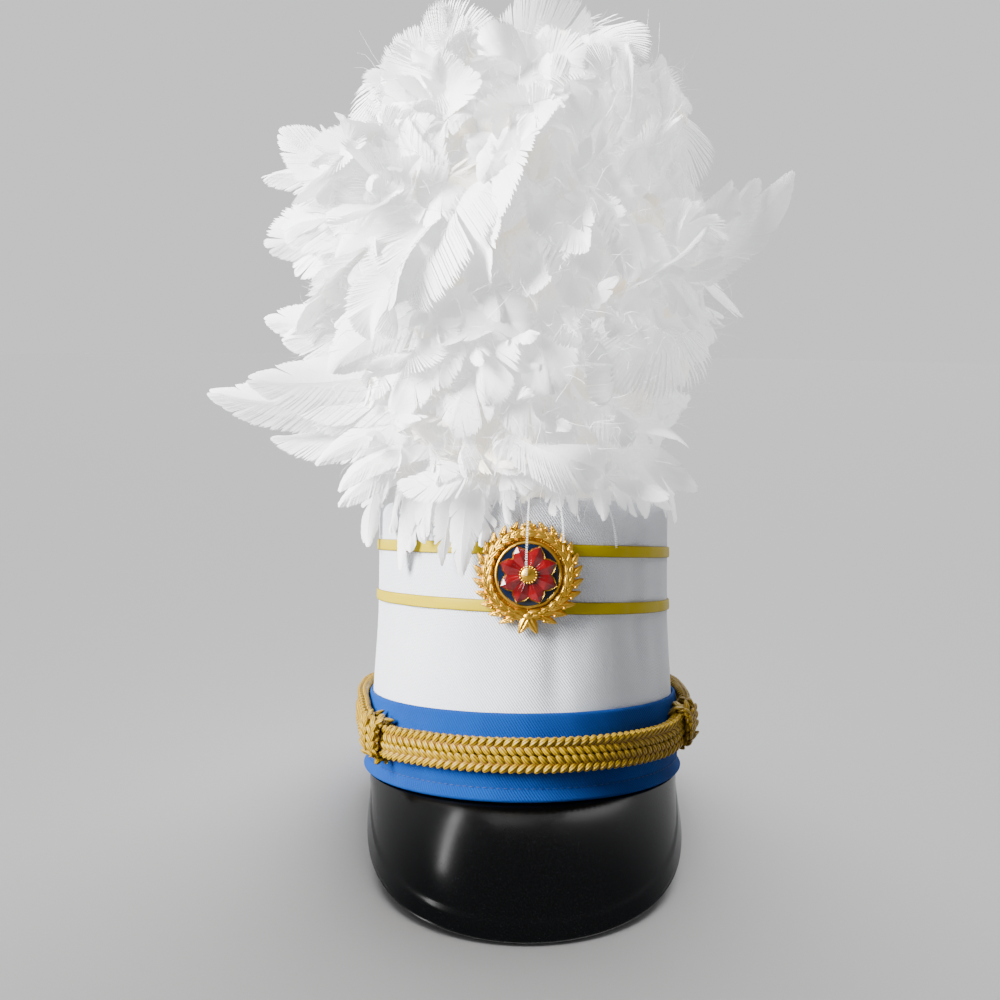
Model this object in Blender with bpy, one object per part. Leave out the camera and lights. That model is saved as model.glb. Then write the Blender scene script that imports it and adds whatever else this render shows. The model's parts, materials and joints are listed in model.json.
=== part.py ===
"""A marching band hat with a feather plume, standing on a floor on its peak and the back of its rim.

Metres, +Z up. The hat's front faces -Y. Every piece is modelled in the hat's own upright frame, with the
lowest plane of its rim at height 0 and the crown's axis at the origin. The empty hat_rest then leans the
whole hat back until peak and rim both touch the floor, and centres it over the world's origin.
"""

import math

import bmesh
import bpy
import numpy as np
from mathutils import Vector

# Clearance between neighbouring pieces
GAP = 0.0003

# Crown: an oval drum with a flat closed top
FOOT_WIDTH = 0.170
FOOT_LENGTH = 0.201
CROWN_HEIGHT = 0.145
CROWN_WALL = 0.0025
FOOT_LIFT = 0.002
TOP_EDGE_RADIUS = 0.006
OVAL_SIDES = 40

# Yellow ribbons round the crown
RIBBON_HEIGHT = 0.006
RIBBON_THICKNESS = 0.0008
UPPER_RIBBON_LEVEL = 0.831 * CROWN_HEIGHT
LOWER_RIBBON_LEVEL = 0.638 * CROWN_HEIGHT
UPPER_RIBBON_SLOPE = -0.022
LOWER_RIBBON_SLOPE = -0.030

# Blue band round the crown's foot, rolled at its lower hem
BAND_HEIGHT = 0.042
BAND_THICKNESS = 0.0015
BAND_BULGE = 0.0012
HEM_RADIUS = 0.0018

# Peak: a curved plastic sheet whose flange stands inside the crown's wall
PEAK_WALL = 0.0018
PEAK_REACH = 0.042
PEAK_DROP = 0.0515
PEAK_WIDTH = 0.1628
PEAK_SIDE_DEPTH = 0.030
PEAK_PLAN_POWER = 0.70
PEAK_DROP_POWER = 0.507
PEAK_BULGE = 0.0035
PEAK_FLANGE_HEIGHT = 0.010
PEAK_ROOT_ANGLE = math.radians(70.5)
PEAK_END_ANGLE = math.radians(88.0)
PEAK_RIM_WIDTH = 0.0085
PEAK_RIM_RISE = 0.0005
PEAK_RIM_COUNT = 2
PEAK_COLUMNS = 21
PEAK_SHARES = (0.27, 0.54, 0.80, 0.96)

# Gold double cord round the front, held by a button at each side
CORD_HEIGHT = 0.0078
CORD_DEPTH = 0.0062
CORD_SIDES = 6
CORD_SEAT = 0.0004
CORD_LEVEL = 0.0233
CORD_SIDE_LEVEL = 0.0350
CORD_RISE_FROM = math.radians(46.0)
CORD_RISE_TO = math.radians(86.0)
CORD_STEPS = 28
CORD_TURN_STEPS = 6
BUTTON_ANGLE = math.radians(110.0)
BUTTON_SHANK_DIAMETER = 0.0040
BUTTON_BASE_DIAMETER = 0.0100
BUTTON_BASE_THICKNESS = 0.0010
BUTTON_DOME_DIAMETER = 0.0130
BUTTON_DOME_HEIGHT = 0.0038
BUTTON_LIP = 0.0010
BUTTON_SIDES = 10

# Slide knots, wound round both runs of the cord
KNOT_LENGTH = 0.0155
KNOT_INNER_WALL = 0.0008
KNOT_OUTER_WALL = 0.0026
KNOT_WRAPS = 2
KNOT_CLEARANCE = 0.0008
KNOT_LEFT_ANGLE = math.radians(-54.0)
KNOT_RIGHT_ANGLE = math.radians(65.0)
KNOT_SIDES = 12
KNOT_RELIEF = 0.30

# Badge on the crown's front, between and over the ribbons
BADGE_LEVEL = 0.748 * CROWN_HEIGHT
BADGE_PLATE_RADIUS = 0.0225
BADGE_PLATE_THICKNESS = 0.0016
BADGE_CURVE_SHARE = 0.60
BADGE_POST_DIAMETER = 0.0040
POST_SIDES = 12
BADGE_NUT_DIAMETER = 0.0110
BADGE_NUT_THICKNESS = 0.0025
DISC_RADIUS = 0.0160
DISC_THICKNESS = 0.0014
DISC_DOME = 0.0008
DISC_SIDES = 18
ROSETTE_RADIUS = 0.0148
ROSETTE_PETALS = 8
PETAL_ROOT_RADIUS = 0.0012
BOSS_RADIUS = 0.0046
BOSS_RISE = 0.0012
PETAL_WIDTH = 0.0100
PETAL_THICKNESS = 0.0018
LEAF_LENGTH = 0.0125
LEAF_WIDTH = 0.0052
LEAF_THICKNESS = 0.0022
LEAF_TAPER = 0.18
LEAF_ROW_RADIUS = 0.0200
LEAVES_A_SIDE = 6
WREATH_FROM = -76.0
WREATH_TO = 76.0
BOW_STRIP_LENGTH = 0.0125
BOW_STRIP_WIDTH = 0.0052
BOW_STRIP_OVERLAP = 0.0019
BOW_LIFT = 0.0020

# Plume: feather locks fused to a core, on a stem that stands in a sleeve
PLUME_HEIGHT = 0.243
PLUME_WIDTH = 0.200
PLUME_DEPTH = 0.160
PLUME_SETBACK = 0.025
PLUME_CORE_DIAMETER = 0.058
CORE_WALL = 0.0025
PLUME_STEM_DIAMETER = 0.0046
CORE_SIDES = 10
LOCK_THICKNESS = 0.0020
LOCK_CAMBER = 0.16
LOCK_CLEARANCE = 0.0070
SLEEVE_WALL = 0.0012
SLEEVE_LENGTH = 0.036
SLEEVE_FLANGE_DIAMETER = 0.0160
SLEEVE_FLANGE_THICKNESS = 0.0012
SLEEVE_SIDES = 12
LOCK_SEED = 7
TURN_JITTER = 0.08
LEVEL_JITTER = 0.020
REACH_JITTER = 0.07
ROLL_JITTER = 0.20
WIDTH_JITTER = 0.10
STRAY_ROLL = 0.9
DROP_ROOT_SHARE = 0.11
DROP_SETBACK = 0.006

# Crown outline: share of its height, share of its girth at the foot
CROWN_SECTIONS = (
    (0.00, 1.000),
    (0.28, 0.986),
    (0.62, 0.957),
    (1.00, 0.955),
)

# Wreath leaf and bow strip: share of its length, share of its width, share of its thickness
LEAF_SECTIONS = (
    (0.00, 0.40, 0.60),
    (0.50, 1.00, 1.00),
)

# Rows of wreath leaves: lean outward in radians, share of the leaf's length, lift off the plate's back
LEAF_ROWS = (
    (0.62, 1.00, 0.0014),
    (-0.28, 0.82, 0.0018),
)

# Strips of the bow: direction in degrees, share of the strip's length
BOW_STRIPS = (
    (18.0, 1.00),
    (162.0, 1.00),
    (-62.0, 0.92),
    (-118.0, 0.92),
)

# Rosette petal: share of its length, share of its width, share of its thickness
PETAL_SECTIONS = (
    (0.00, 0.20, 0.80),
    (0.66, 1.00, 1.00),
)

# Plume core, a bell open at its foot: share of the plume's height, share of the core's girth
CORE_SECTIONS = (
    (0.025, 0.66),
    (0.10, 0.88),
    (0.25, 1.00),
    (0.50, 0.94),
    (0.74, 0.70),
    (0.88, 0.30),
)

# Plume outline: share of its height, then reach to left and right as shares of half its width, and
# reach to front and back as shares of half its depth
PLUME_OUTLINE = (
    (0.00, 0.70, 0.66, 0.50, 0.62),
    (0.10, 0.90, 0.68, 0.72, 0.80),
    (0.20, 1.04, 0.80, 0.90, 0.94),
    (0.32, 1.14, 0.92, 1.00, 1.00),
    (0.45, 1.06, 1.02, 1.00, 1.02),
    (0.55, 1.16, 1.02, 0.98, 1.02),
    (0.65, 1.10, 0.80, 0.94, 1.00),
    (0.76, 0.84, 0.80, 0.88, 0.94),
    (0.88, 0.70, 0.80, 0.76, 0.82),
    (0.95, 0.48, 0.58, 0.56, 0.60),
    (1.00, 0.16, 0.20, 0.20, 0.20),
)

# Tiers of locks, from the foot up: root height share, tip height share, number of locks, share of the
# outline's reach, lock width in metres, lift of the launch and droop of the tip as slopes
PLUME_TIERS = (
    (0.11, 0.05, 8, 0.98, 0.036, 0.80, 1.10),
    (0.20, 0.13, 8, 0.98, 0.044, 1.00, 1.60),
    (0.29, 0.22, 8, 0.98, 0.046, 1.10, 1.80),
    (0.37, 0.32, 8, 0.98, 0.048, 1.20, 1.80),
    (0.45, 0.42, 8, 0.98, 0.048, 1.30, 1.70),
    (0.53, 0.52, 8, 0.98, 0.048, 1.40, 1.60),
    (0.60, 0.62, 7, 0.98, 0.046, 1.50, 1.40),
    (0.67, 0.72, 7, 0.98, 0.044, 1.60, 1.20),
    (0.73, 0.82, 6, 0.98, 0.042, 1.90, 0.80),
    (0.79, 0.92, 5, 0.96, 0.038, 2.40, 0.20),
    (0.84, 1.00, 3, 0.90, 0.030, 3.00, -1.00),
)

# Single feathers that stand out: root height share, then the tip's place as shares of half the plume's
# width, half its depth and its height, then width in metres, launch lift and tip droop
PLUME_STRAYS = (
    (0.24, -1.54, -0.20, 0.215, 0.028, 0.10, -0.25),
    (0.30, -1.28, 0.10, 0.372, 0.024, 0.30, -0.15),
    (0.46, -1.24, 0.05, 0.530, 0.034, 0.45, 0.35),
    (0.52, -1.24, -0.15, 0.655, 0.026, 0.50, 0.15),
    (0.16, -0.99, -0.30, 0.075, 0.026, 0.30, 0.70),
    (0.44, 1.29, -0.10, 0.658, 0.022, -0.10, -1.60),
    (0.42, 0.99, -0.30, 0.570, 0.022, 0.40, -0.10),
    (0.12, 0.80, -0.20, 0.030, 0.024, 0.20, 0.60),
    (0.62, 0.78, 0.10, 0.865, 0.032, 1.10, 0.60),
    (0.60, -0.78, 0.05, 0.800, 0.032, 1.20, 0.30),
)

# Feathers that hang over the crown's edge: angle from the front in degrees, level of the tip, distance
# in front of the crown, width
PLUME_DROPS = (
    (-76.0, 0.1290, 0.0060, 0.020),
    (-48.0, 0.1130, 0.0055, 0.018),
    (-36.0, 0.1260, 0.0065, 0.018),
    (-21.0, 0.1110, 0.0100, 0.019),
    (24.0, 0.1370, 0.0090, 0.016),
    (44.0, 0.1390, 0.0060, 0.018),
    (72.0, 0.1370, 0.0060, 0.020),
)

# Lock outline: share of its length, share of its width, share of its thickness
LOCK_SECTIONS = (
    (0.00, 0.18, 1.20),
    (0.45, 0.95, 1.00),
    (0.80, 0.85, 0.70),
)

# Outline of a lock that hangs over the edge, with the same columns
DROP_SECTIONS = (
    (0.00, 0.25, 1.20),
    (0.25, 0.60, 1.00),
    (0.50, 0.95, 1.00),
    (0.85, 0.90, 0.70),
)


# Helpers


def smooth_column(table, column, share):
    """The column's value at this share of the table's first column, on a smooth curve with no overshoot."""
    xs = [row[0] for row in table]
    ys = [row[column] for row in table]
    share = min(max(share, xs[0]), xs[-1])
    rates = [(ys[i + 1] - ys[i]) / (xs[i + 1] - xs[i]) for i in range(len(xs) - 1)]
    slopes = [rates[0]] + [0.0] * (len(rates) - 1) + [rates[-1]]
    for i in range(1, len(rates)):
        if rates[i - 1] * rates[i] > 0.0:
            slopes[i] = 2.0 * rates[i - 1] * rates[i] / (rates[i - 1] + rates[i])
    i = max(k for k in range(len(rates)) if share >= xs[k])
    step = xs[i + 1] - xs[i]
    t = (share - xs[i]) / step
    value = ys[i] * (1.0 + 2.0 * t) * (1.0 - t) ** 2 + ys[i + 1] * t * t * (3.0 - 2.0 * t)
    return value + step * t * (1.0 - t) * (slopes[i] * (1.0 - t) - slopes[i + 1] * t)


def eased(value, start, end):
    """0 before start, 1 after end, and a smooth rise between them."""
    t = min(max((value - start) / (end - start), 0.0), 1.0)
    return t * t * (3.0 - 2.0 * t)


def oval_point(angle, grow, level):
    """A point this far outside the crown's surface, at an angle from the front towards +X."""
    share = smooth_column(CROWN_SECTIONS, 1, level / CROWN_HEIGHT)
    half_width = 0.5 * FOOT_WIDTH * share + grow
    half_length = 0.5 * FOOT_LENGTH * share + grow
    return Vector((half_width * math.sin(angle), -half_length * math.cos(angle), level))


def oval_normal(angle, level):
    """The crown's outward direction at this place, level with the rim."""
    place = oval_point(angle, 0.0, level)
    share = smooth_column(CROWN_SECTIONS, 1, level / CROWN_HEIGHT)
    across = place.x / (0.5 * FOOT_WIDTH * share) ** 2
    along = place.y / (0.5 * FOOT_LENGTH * share) ** 2
    return Vector((across, along, 0.0)).normalized()


def band_face(level):
    """How far the blue band's outer face stands outside the crown's surface."""
    share = min(max(level / BAND_HEIGHT, 0.0), 1.0)
    return GAP + BAND_THICKNESS + BAND_BULGE * math.sin(math.pi * share)


def band_point(angle, out, level):
    """A point this far outside the band's face."""
    return oval_point(angle, band_face(level) + out, level)


def band_normal(angle, level):
    """The band's outward direction at this place."""
    step = 0.01
    across = band_point(angle + step, 0.0, level) - band_point(angle - step, 0.0, level)
    rise = step * BAND_HEIGHT
    up = band_point(angle, 0.0, level + rise) - band_point(angle, 0.0, level - rise)
    return across.cross(up).normalized()


def material(name, colour, roughness, metallic=0.0):
    made = bpy.data.materials.new(name)
    made.use_nodes = True
    shader = made.node_tree.nodes["Principled BSDF"]
    shader.inputs["Base Color"].default_value = (*colour, 1.0)
    shader.inputs["Roughness"].default_value = roughness
    shader.inputs["Metallic"].default_value = metallic
    return made


def link(name, data, finish, parent):
    piece = bpy.data.objects.new(name, data)
    bpy.context.scene.collection.objects.link(piece)
    piece.parent = parent
    data.materials.append(finish)
    return piece


def mesh_of(name, points, faces):
    """A closed mesh with outward faces, shaded smooth except at its sharp edges."""
    mesh = bpy.data.meshes.new(name)
    mesh.from_pydata([tuple(point) for point in points], [], faces)
    form = bmesh.new()
    form.from_mesh(mesh)
    bmesh.ops.recalc_face_normals(form, faces=form.faces)
    form.to_mesh(mesh)
    form.free()
    mesh.shade_smooth()
    mesh.set_sharp_from_angle(angle=math.radians(38.0))
    return mesh


def ring_faces(rings, sides, closed):
    """Quads between successive rings of points, round again to the first ring where closed."""
    faces = []
    for ring in range(rings if closed else rings - 1):
        low = ring * sides
        high = (ring + 1) % rings * sides
        for side in range(sides):
            turn = (side + 1) % sides
            faces.append((low + side, low + turn, high + turn, high + side))
    return faces


def capped_faces(rings, sides):
    """Quads between successive rings, with a flat face on the first and the last."""
    last = (rings - 1) * sides
    caps = [tuple(range(sides)), tuple(range(last, last + sides))]
    return ring_faces(rings, sides, False) + caps


def oval_rings(profile, slope=0.0):
    """One ring of points round the crown for each (grow, level), leaning by slope from left to right."""
    points = []
    for grow, level in profile:
        for side in range(OVAL_SIDES):
            # The half step leaves an edge of the ring, not a corner, at the front and at the back.
            angle = math.tau * (side + 0.5) / OVAL_SIDES
            point = oval_point(angle, grow, level)
            point.z += slope * point.x
            points.append(point)
    return points


def turned(profile, sides, axis_place, axis):
    """Points of rings round an axis, one for each (radius, distance along the axis)."""
    turn = axis.to_track_quat("Z", "Y").to_matrix()
    points = []
    for radius, along in profile:
        for side in range(sides):
            angle = math.tau * side / sides
            local = Vector((radius * math.cos(angle), radius * math.sin(angle), along))
            points.append(axis_place + turn @ local)
    return points


def cut(piece, name, points, faces):
    """Subtracts a closed shape from the piece."""
    cutter = bpy.data.objects.new(name, mesh_of(name, points, faces))
    bpy.context.scene.collection.objects.link(cutter)
    cutter.parent = piece.parent
    cutter.hide_render = True
    cutter.display_type = "WIRE"
    boolean = piece.modifiers.new(name, "BOOLEAN")
    boolean.operation = "DIFFERENCE"
    boolean.object = cutter


def fuse(piece, name, meshes, solver="EXACT"):
    """Unites the piece with closed meshes, each of which runs into it or into another."""
    group = bpy.data.collections.new(name)
    bpy.context.scene.collection.children.link(group)
    for index, mesh in enumerate(meshes):
        part = bpy.data.objects.new(f"{name}_{index}", mesh)
        group.objects.link(part)
        part.parent = piece.parent
        part.hide_render = True
        part.display_type = "WIRE"
    boolean = piece.modifiers.new(name, "BOOLEAN")
    boolean.operation = "UNION"
    boolean.operand_type = "COLLECTION"
    boolean.solver = solver
    boolean.collection = group
    return group


def shell_of(start):
    """Every face joined to this one through edges that have just two faces."""
    found = {start}
    waiting = [start]
    while waiting:
        plain_edges = [edge for edge in waiting.pop().edges if len(edge.link_faces) == 2]
        beside = {face for edge in plain_edges for face in edge.link_faces} - found
        found |= beside
        waiting += beside
    return found


def keep_outer_shell(piece, group):
    """Applies the fused group and fills the small pockets that its crossing meshes sealed off."""
    bpy.context.view_layer.update()
    form = bmesh.new()
    form.from_object(piece, bpy.context.evaluated_depsgraph_get())
    outermost = max(form.verts, key=lambda vertex: vertex.co.z)
    outer = shell_of(outermost.link_faces[0])
    bmesh.ops.delete(form, geom=[face for face in form.faces if face not in outer], context="FACES")
    piece.modifiers.clear()
    form.to_mesh(piece.data)
    form.free()
    for part in list(group.objects):
        bpy.data.objects.remove(part)
    bpy.data.collections.remove(group)


# Crown, ribbons and band


def crown(finish, parent):
    outer = []
    for share in (0.0, 0.28, 0.58):
        outer.append((0.0, FOOT_LIFT + share * (CROWN_HEIGHT - TOP_EDGE_RADIUS - FOOT_LIFT)))
    for step in range(4):
        turn = 0.5 * math.pi * step / 3
        inward = TOP_EDGE_RADIUS * (1.0 - math.cos(turn))
        outer.append((-inward, CROWN_HEIGHT - TOP_EDGE_RADIUS * (1.0 - math.sin(turn))))
    inner = []
    for share in (0.0, 0.40, 1.0):
        level = FOOT_LIFT + share * (CROWN_HEIGHT - CROWN_WALL - TOP_EDGE_RADIUS - FOOT_LIFT)
        inner.append((-CROWN_WALL, level))
    inner.append((-CROWN_WALL - TOP_EDGE_RADIUS, CROWN_HEIGHT - CROWN_WALL))
    profile = outer[::-1] + inner
    points = oval_rings(profile)
    piece = link("crown", mesh_of("crown", points, capped_faces(len(profile), OVAL_SIDES)), finish, parent)
    sleeve_radius = 0.5 * PLUME_STEM_DIAMETER + 2.0 * GAP + SLEEVE_WALL
    hole = [(sleeve_radius, -2.0 * CROWN_WALL), (sleeve_radius, CROWN_WALL)]
    top = plume_foot()
    upward = Vector((0, 0, 1))
    cut(piece, "sleeve_hole", turned(hole, SLEEVE_SIDES, top, upward), capped_faces(2, SLEEVE_SIDES))
    post_radius = 0.5 * BADGE_POST_DIAMETER + GAP
    hole = [(post_radius, -3.0 * CROWN_WALL), (post_radius, CROWN_WALL)]
    front = oval_point(0.0, 0.0, BADGE_LEVEL)
    ahead = Vector((0, -1, 0))
    cut(piece, "post_hole", turned(hole, POST_SIDES, front, ahead), capped_faces(2, POST_SIDES))


def ribbon(name, level, slope, finish, parent):
    low = level - 0.5 * RIBBON_HEIGHT
    high = level + 0.5 * RIBBON_HEIGHT
    face = GAP + RIBBON_THICKNESS
    profile = [(GAP, low), (face, low), (face, high), (GAP, high)]
    faces = ring_faces(len(profile), OVAL_SIDES, True)
    link(name, mesh_of(name, oval_rings(profile, slope), faces), finish, parent)


def base_band(finish, parent):
    profile = [(GAP, BAND_HEIGHT), (GAP, 2.0 * HEM_RADIUS)]
    for step in range(4):
        turn = math.pi * step / 3
        grow = GAP + HEM_RADIUS * (1.0 - math.cos(turn))
        profile.append((grow, HEM_RADIUS * (1.0 - math.sin(turn))))
    for share in (0.20, 0.50, 0.80, 1.0):
        profile.append((band_face(share * BAND_HEIGHT), share * BAND_HEIGHT))
    faces = ring_faces(len(profile), OVAL_SIDES, True)
    return link("base_band", mesh_of("base_band", oval_rings(profile), faces), finish, parent)


# Peak


def peak_edge(angle):
    """The peak's outer edge, for an angle from -90 degrees at the left through the front to 90."""
    ahead = max(math.cos(angle), 0.0)
    front = 0.5 * FOOT_LENGTH + band_face(0.0) + PEAK_REACH
    return Vector(
        (
            0.5 * PEAK_WIDTH * math.sin(angle),
            -PEAK_SIDE_DEPTH - (front - PEAK_SIDE_DEPTH) * ahead**PEAK_PLAN_POWER,
            -PEAK_DROP * ahead**PEAK_DROP_POWER,
        )
    )


def even_angles(curve, limit, count):
    """Angles from -limit to limit whose points lie evenly spaced along the curve."""
    fine = np.linspace(-limit, limit, 721)
    places = np.array([curve(angle) for angle in fine])
    steps = np.linalg.norm(np.diff(places, axis=0), axis=1)
    run = np.concatenate([[0.0], np.cumsum(steps)])
    return np.interp(np.linspace(0.0, run[-1], count), run, fine)


def peak_row(angle, share):
    """One section of the peak's upper face, from the top of the flange to the outer edge."""
    root = share * PEAK_ROOT_ANGLE
    inside = -CROWN_WALL - 2.0 * GAP
    hem = GAP + HEM_RADIUS
    edge = peak_edge(angle)
    foot = oval_point(root, hem, 0.0) - Vector((0, 0, 2.0 * GAP))
    row = [
        oval_point(root, inside, PEAK_FLANGE_HEIGHT),
        oval_point(root, inside, FOOT_LIFT),
        oval_point(root, 0.5 * inside, 0.0) - Vector((0, 0, 2.0 * GAP)),
        foot,
    ]
    run = (edge - foot).length
    outward = Vector((edge.x - foot.x, edge.y - foot.y, 0.0)).normalized()
    upward = (outward * PEAK_DROP + Vector((0, 0, PEAK_REACH))).normalized()
    rim = max(1.0 - PEAK_RIM_WIDTH / run, 0.5)
    crest = PEAK_BULGE * run / math.hypot(PEAK_DROP, PEAK_REACH)
    for part in [share * rim for share in PEAK_SHARES] + [rim, 1.0]:
        rise = PEAK_RIM_RISE if part >= rim else 0.0
        lift = crest * 4.0 * part * (1.0 - part) + rise
        row.append(foot.lerp(edge, part) + upward * lift)
    return row


def grid_normals(grid):
    across = np.gradient(grid, axis=0)
    along = np.gradient(grid, axis=1)
    normals = np.cross(across, along)
    return normals / np.linalg.norm(normals, axis=2, keepdims=True)


def sheet_faces(columns, rows):
    """Faces of a sheet with an upper and a lower grid of points, closed round its border."""
    below = columns * rows
    faces = []
    for column in range(columns - 1):
        for row in range(rows - 1):
            quad = [column * rows + row, (column + 1) * rows + row]
            quad += [(column + 1) * rows + row + 1, column * rows + row + 1]
            faces.append(tuple(quad))
            faces.append(tuple(corner + below for corner in reversed(quad)))
    border = [column * rows for column in range(columns)]
    border += [(columns - 1) * rows + row for row in range(1, rows)]
    border += [column * rows + rows - 1 for column in range(columns - 2, -1, -1)]
    border += [row for row in range(rows - 2, 0, -1)]
    for here, there in zip(border, border[1:] + border[:1]):
        faces.append((there, here, here + below, there + below))
    return faces


def peak(finish, parent):
    angles = even_angles(peak_edge, PEAK_END_ANGLE, PEAK_COLUMNS)
    shares = np.linspace(-1.0, 1.0, PEAK_COLUMNS)
    upper = np.array([peak_row(angle, share) for angle, share in zip(angles, shares)])
    normals = grid_normals(upper)
    # The underside stays smooth beneath the raised rim.
    depth = np.full(upper.shape[1], PEAK_WALL)
    depth[-PEAK_RIM_COUNT:] += PEAK_RIM_RISE
    lower = upper + normals * depth[None, :, None]
    points = np.concatenate([upper.reshape(-1, 3), lower.reshape(-1, 3)])
    faces = sheet_faces(upper.shape[0], upper.shape[1])
    return link("peak", mesh_of("peak", points.tolist(), faces), finish, parent)


# Cord, knots and buttons


def cord_middle(angle):
    """The line midway between the cord's two runs: its distance from the band's face, and its level."""
    turn = abs(angle)
    level = CORD_LEVEL + (CORD_SIDE_LEVEL - CORD_LEVEL) * eased(turn, CORD_RISE_FROM, CORD_RISE_TO)
    near_knot = 0.0
    for knot in (KNOT_LEFT_ANGLE, KNOT_RIGHT_ANGLE):
        distance = abs(angle - knot) * 0.5 * FOOT_LENGTH
        near_knot = max(near_knot, 1.0 - eased(distance, KNOT_LENGTH, 2.2 * KNOT_LENGTH))
    near_button = eased(turn, BUTTON_ANGLE - math.radians(25.0), BUTTON_ANGLE - math.radians(8.0))
    lift = max(near_knot * (KNOT_INNER_WALL + KNOT_CLEARANCE), near_button * (BUTTON_BASE_THICKNESS + GAP))
    return CORD_SEAT + 0.5 * CORD_DEPTH + lift, level


def cord_loop_radius():
    return 0.5 * BUTTON_SHANK_DIAMETER + GAP + 0.5 * CORD_HEIGHT


def cord_place(angle, side):
    """A point of the upper run (side 1), the lower run (side -1) or the line between them (side 0)."""
    out, level = cord_middle(angle)
    beside = 0.5 * (CORD_HEIGHT + GAP)
    apart = eased(abs(angle), BUTTON_ANGLE - math.radians(20.0), BUTTON_ANGLE - math.radians(3.0))
    spread = beside + (cord_loop_radius() - beside) * apart
    return band_point(angle, out, level + side * spread)


def cord_turn(side_of_hat, step, steps):
    """A point of the half turn that the cord makes behind a button's shank."""
    loop = cord_loop_radius()
    turn = 0.5 * math.pi - math.pi * step / steps
    beyond = loop * math.cos(turn) / (0.5 * FOOT_LENGTH)
    angle = side_of_hat * (BUTTON_ANGLE + beyond)
    out, level = cord_middle(angle)
    return band_point(angle, out, level + loop * math.sin(turn))


def cord_route():
    """One closed loop: along the upper run, round the right button, back along the lower, round the left."""
    run = [BUTTON_ANGLE * (2.0 * step / CORD_STEPS - 1.0) for step in range(CORD_STEPS + 1)]
    route = [cord_place(angle, 1) for angle in run]
    route += [cord_turn(1, step, CORD_TURN_STEPS) for step in range(1, CORD_TURN_STEPS)]
    route += [cord_place(angle, -1) for angle in reversed(run)]
    route += [cord_turn(-1, CORD_TURN_STEPS - step, CORD_TURN_STEPS) for step in range(1, CORD_TURN_STEPS)]
    return route


def front_cord(finish, parent):
    route = cord_route()
    points = []
    for index, place in enumerate(route):
        ahead = (route[(index + 1) % len(route)] - route[index - 1]).normalized()
        outward = oval_normal(math.atan2(place.x, -place.y), CORD_LEVEL)
        across = ahead.cross(outward).normalized()
        for side in range(CORD_SIDES):
            turn = math.tau * side / CORD_SIDES
            deep = outward * (0.5 * CORD_DEPTH * math.cos(turn))
            points.append(place + deep + across * (0.5 * CORD_HEIGHT * math.sin(turn)))
    faces = ring_faces(len(route), CORD_SIDES, True)
    link("front_cord", mesh_of("front_cord", points, faces), finish, parent)


def cord_knot(name, angle, finish, parent):
    """A ribbed sleeve round both runs of the cord, thin where it lies on the band."""
    stations = 2 * KNOT_WRAPS + 1
    half_turn = 0.5 * KNOT_LENGTH / (0.5 * FOOT_LENGTH)
    half_depth = 0.5 * CORD_DEPTH + KNOT_CLEARANCE
    half_height = CORD_HEIGHT + KNOT_CLEARANCE + 0.5 * GAP
    inner = []
    outer = []
    for station in range(stations):
        here = angle + half_turn * (2.0 * station / (stations - 1) - 1.0)
        place = cord_place(here, 0)
        outward = oval_normal(here, CORD_LEVEL)
        relief = 1.0 if station % 2 else 1.0 - KNOT_RELIEF
        for side in range(KNOT_SIDES):
            turn = math.tau * (side + 0.5) / KNOT_SIDES
            facing = 0.5 + 0.5 * math.cos(turn)
            wall = KNOT_INNER_WALL + (KNOT_OUTER_WALL * relief - KNOT_INNER_WALL) * facing
            straight = math.copysign(half_height - half_depth, math.sin(turn))
            for ring, grow in ((inner, 0.0), (outer, wall)):
                deep = (half_depth + grow) * math.cos(turn)
                high = (half_depth + grow) * math.sin(turn) + straight
                ring.append(place + outward * deep + Vector((0, 0, high)))
    backwards = [outer[start : start + KNOT_SIDES] for start in range(0, len(outer), KNOT_SIDES)][::-1]
    points = inner + [point for ring in backwards for point in ring]
    faces = ring_faces(2 * stations, KNOT_SIDES, True)
    link(name, mesh_of(name, points, faces), finish, parent)


def side_button(name, side_of_hat, finish, parent):
    """A domed button on a shank, which the cord's end loops round."""
    angle = side_of_hat * BUTTON_ANGLE
    level = cord_middle(angle)[1]
    place = band_point(angle, GAP, level)
    base = 0.5 * BUTTON_BASE_DIAMETER
    shank = 0.5 * BUTTON_SHANK_DIAMETER
    dome = 0.5 * BUTTON_DOME_DIAMETER
    under = BUTTON_BASE_THICKNESS + CORD_DEPTH + 4.0 * GAP
    profile = [(base, 0.0), (base, BUTTON_BASE_THICKNESS), (shank, BUTTON_BASE_THICKNESS), (shank, under)]
    profile.append((dome, under))
    for share in (0.97, 0.80, 0.50, 0.18):
        bulge = math.sqrt(1.0 - share * share)
        profile.append((share * dome, under + BUTTON_LIP + (BUTTON_DOME_HEIGHT - BUTTON_LIP) * bulge))
    points = turned(profile, BUTTON_SIDES, place, band_normal(angle, level))
    link(name, mesh_of(name, points, capped_faces(len(profile), BUTTON_SIDES)), finish, parent)


# Blades: wreath leaves, rosette petals and feather locks


def blade_mesh(name, path, side_way, width, thickness, camber, sections):
    """A pointed blade along a path, its edges lower than its middle by the camber's share of its width."""
    points = []
    for share, broad, thick in sections:
        place = path(share)
        ahead = (path(min(share + 0.02, 1.0)) - path(max(share - 0.02, 0.0))).normalized()
        upward = side_way.cross(ahead).normalized()
        across = ahead.cross(upward).normalized() * (0.5 * width * broad)
        fall = upward * (camber * width * broad * broad)
        deep = upward * (0.5 * thickness * thick)
        points += [place - across - fall, place + deep, place + across - fall, place - deep]
    points.append(path(1.0))
    tip = len(points) - 1
    last = tip - 4
    faces = ring_faces(len(sections), 4, False)
    faces += [(last + side, last + (side + 1) % 4, tip) for side in range(4)]
    faces.append((3, 2, 1, 0))
    return mesh_of(name, points, faces)


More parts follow.
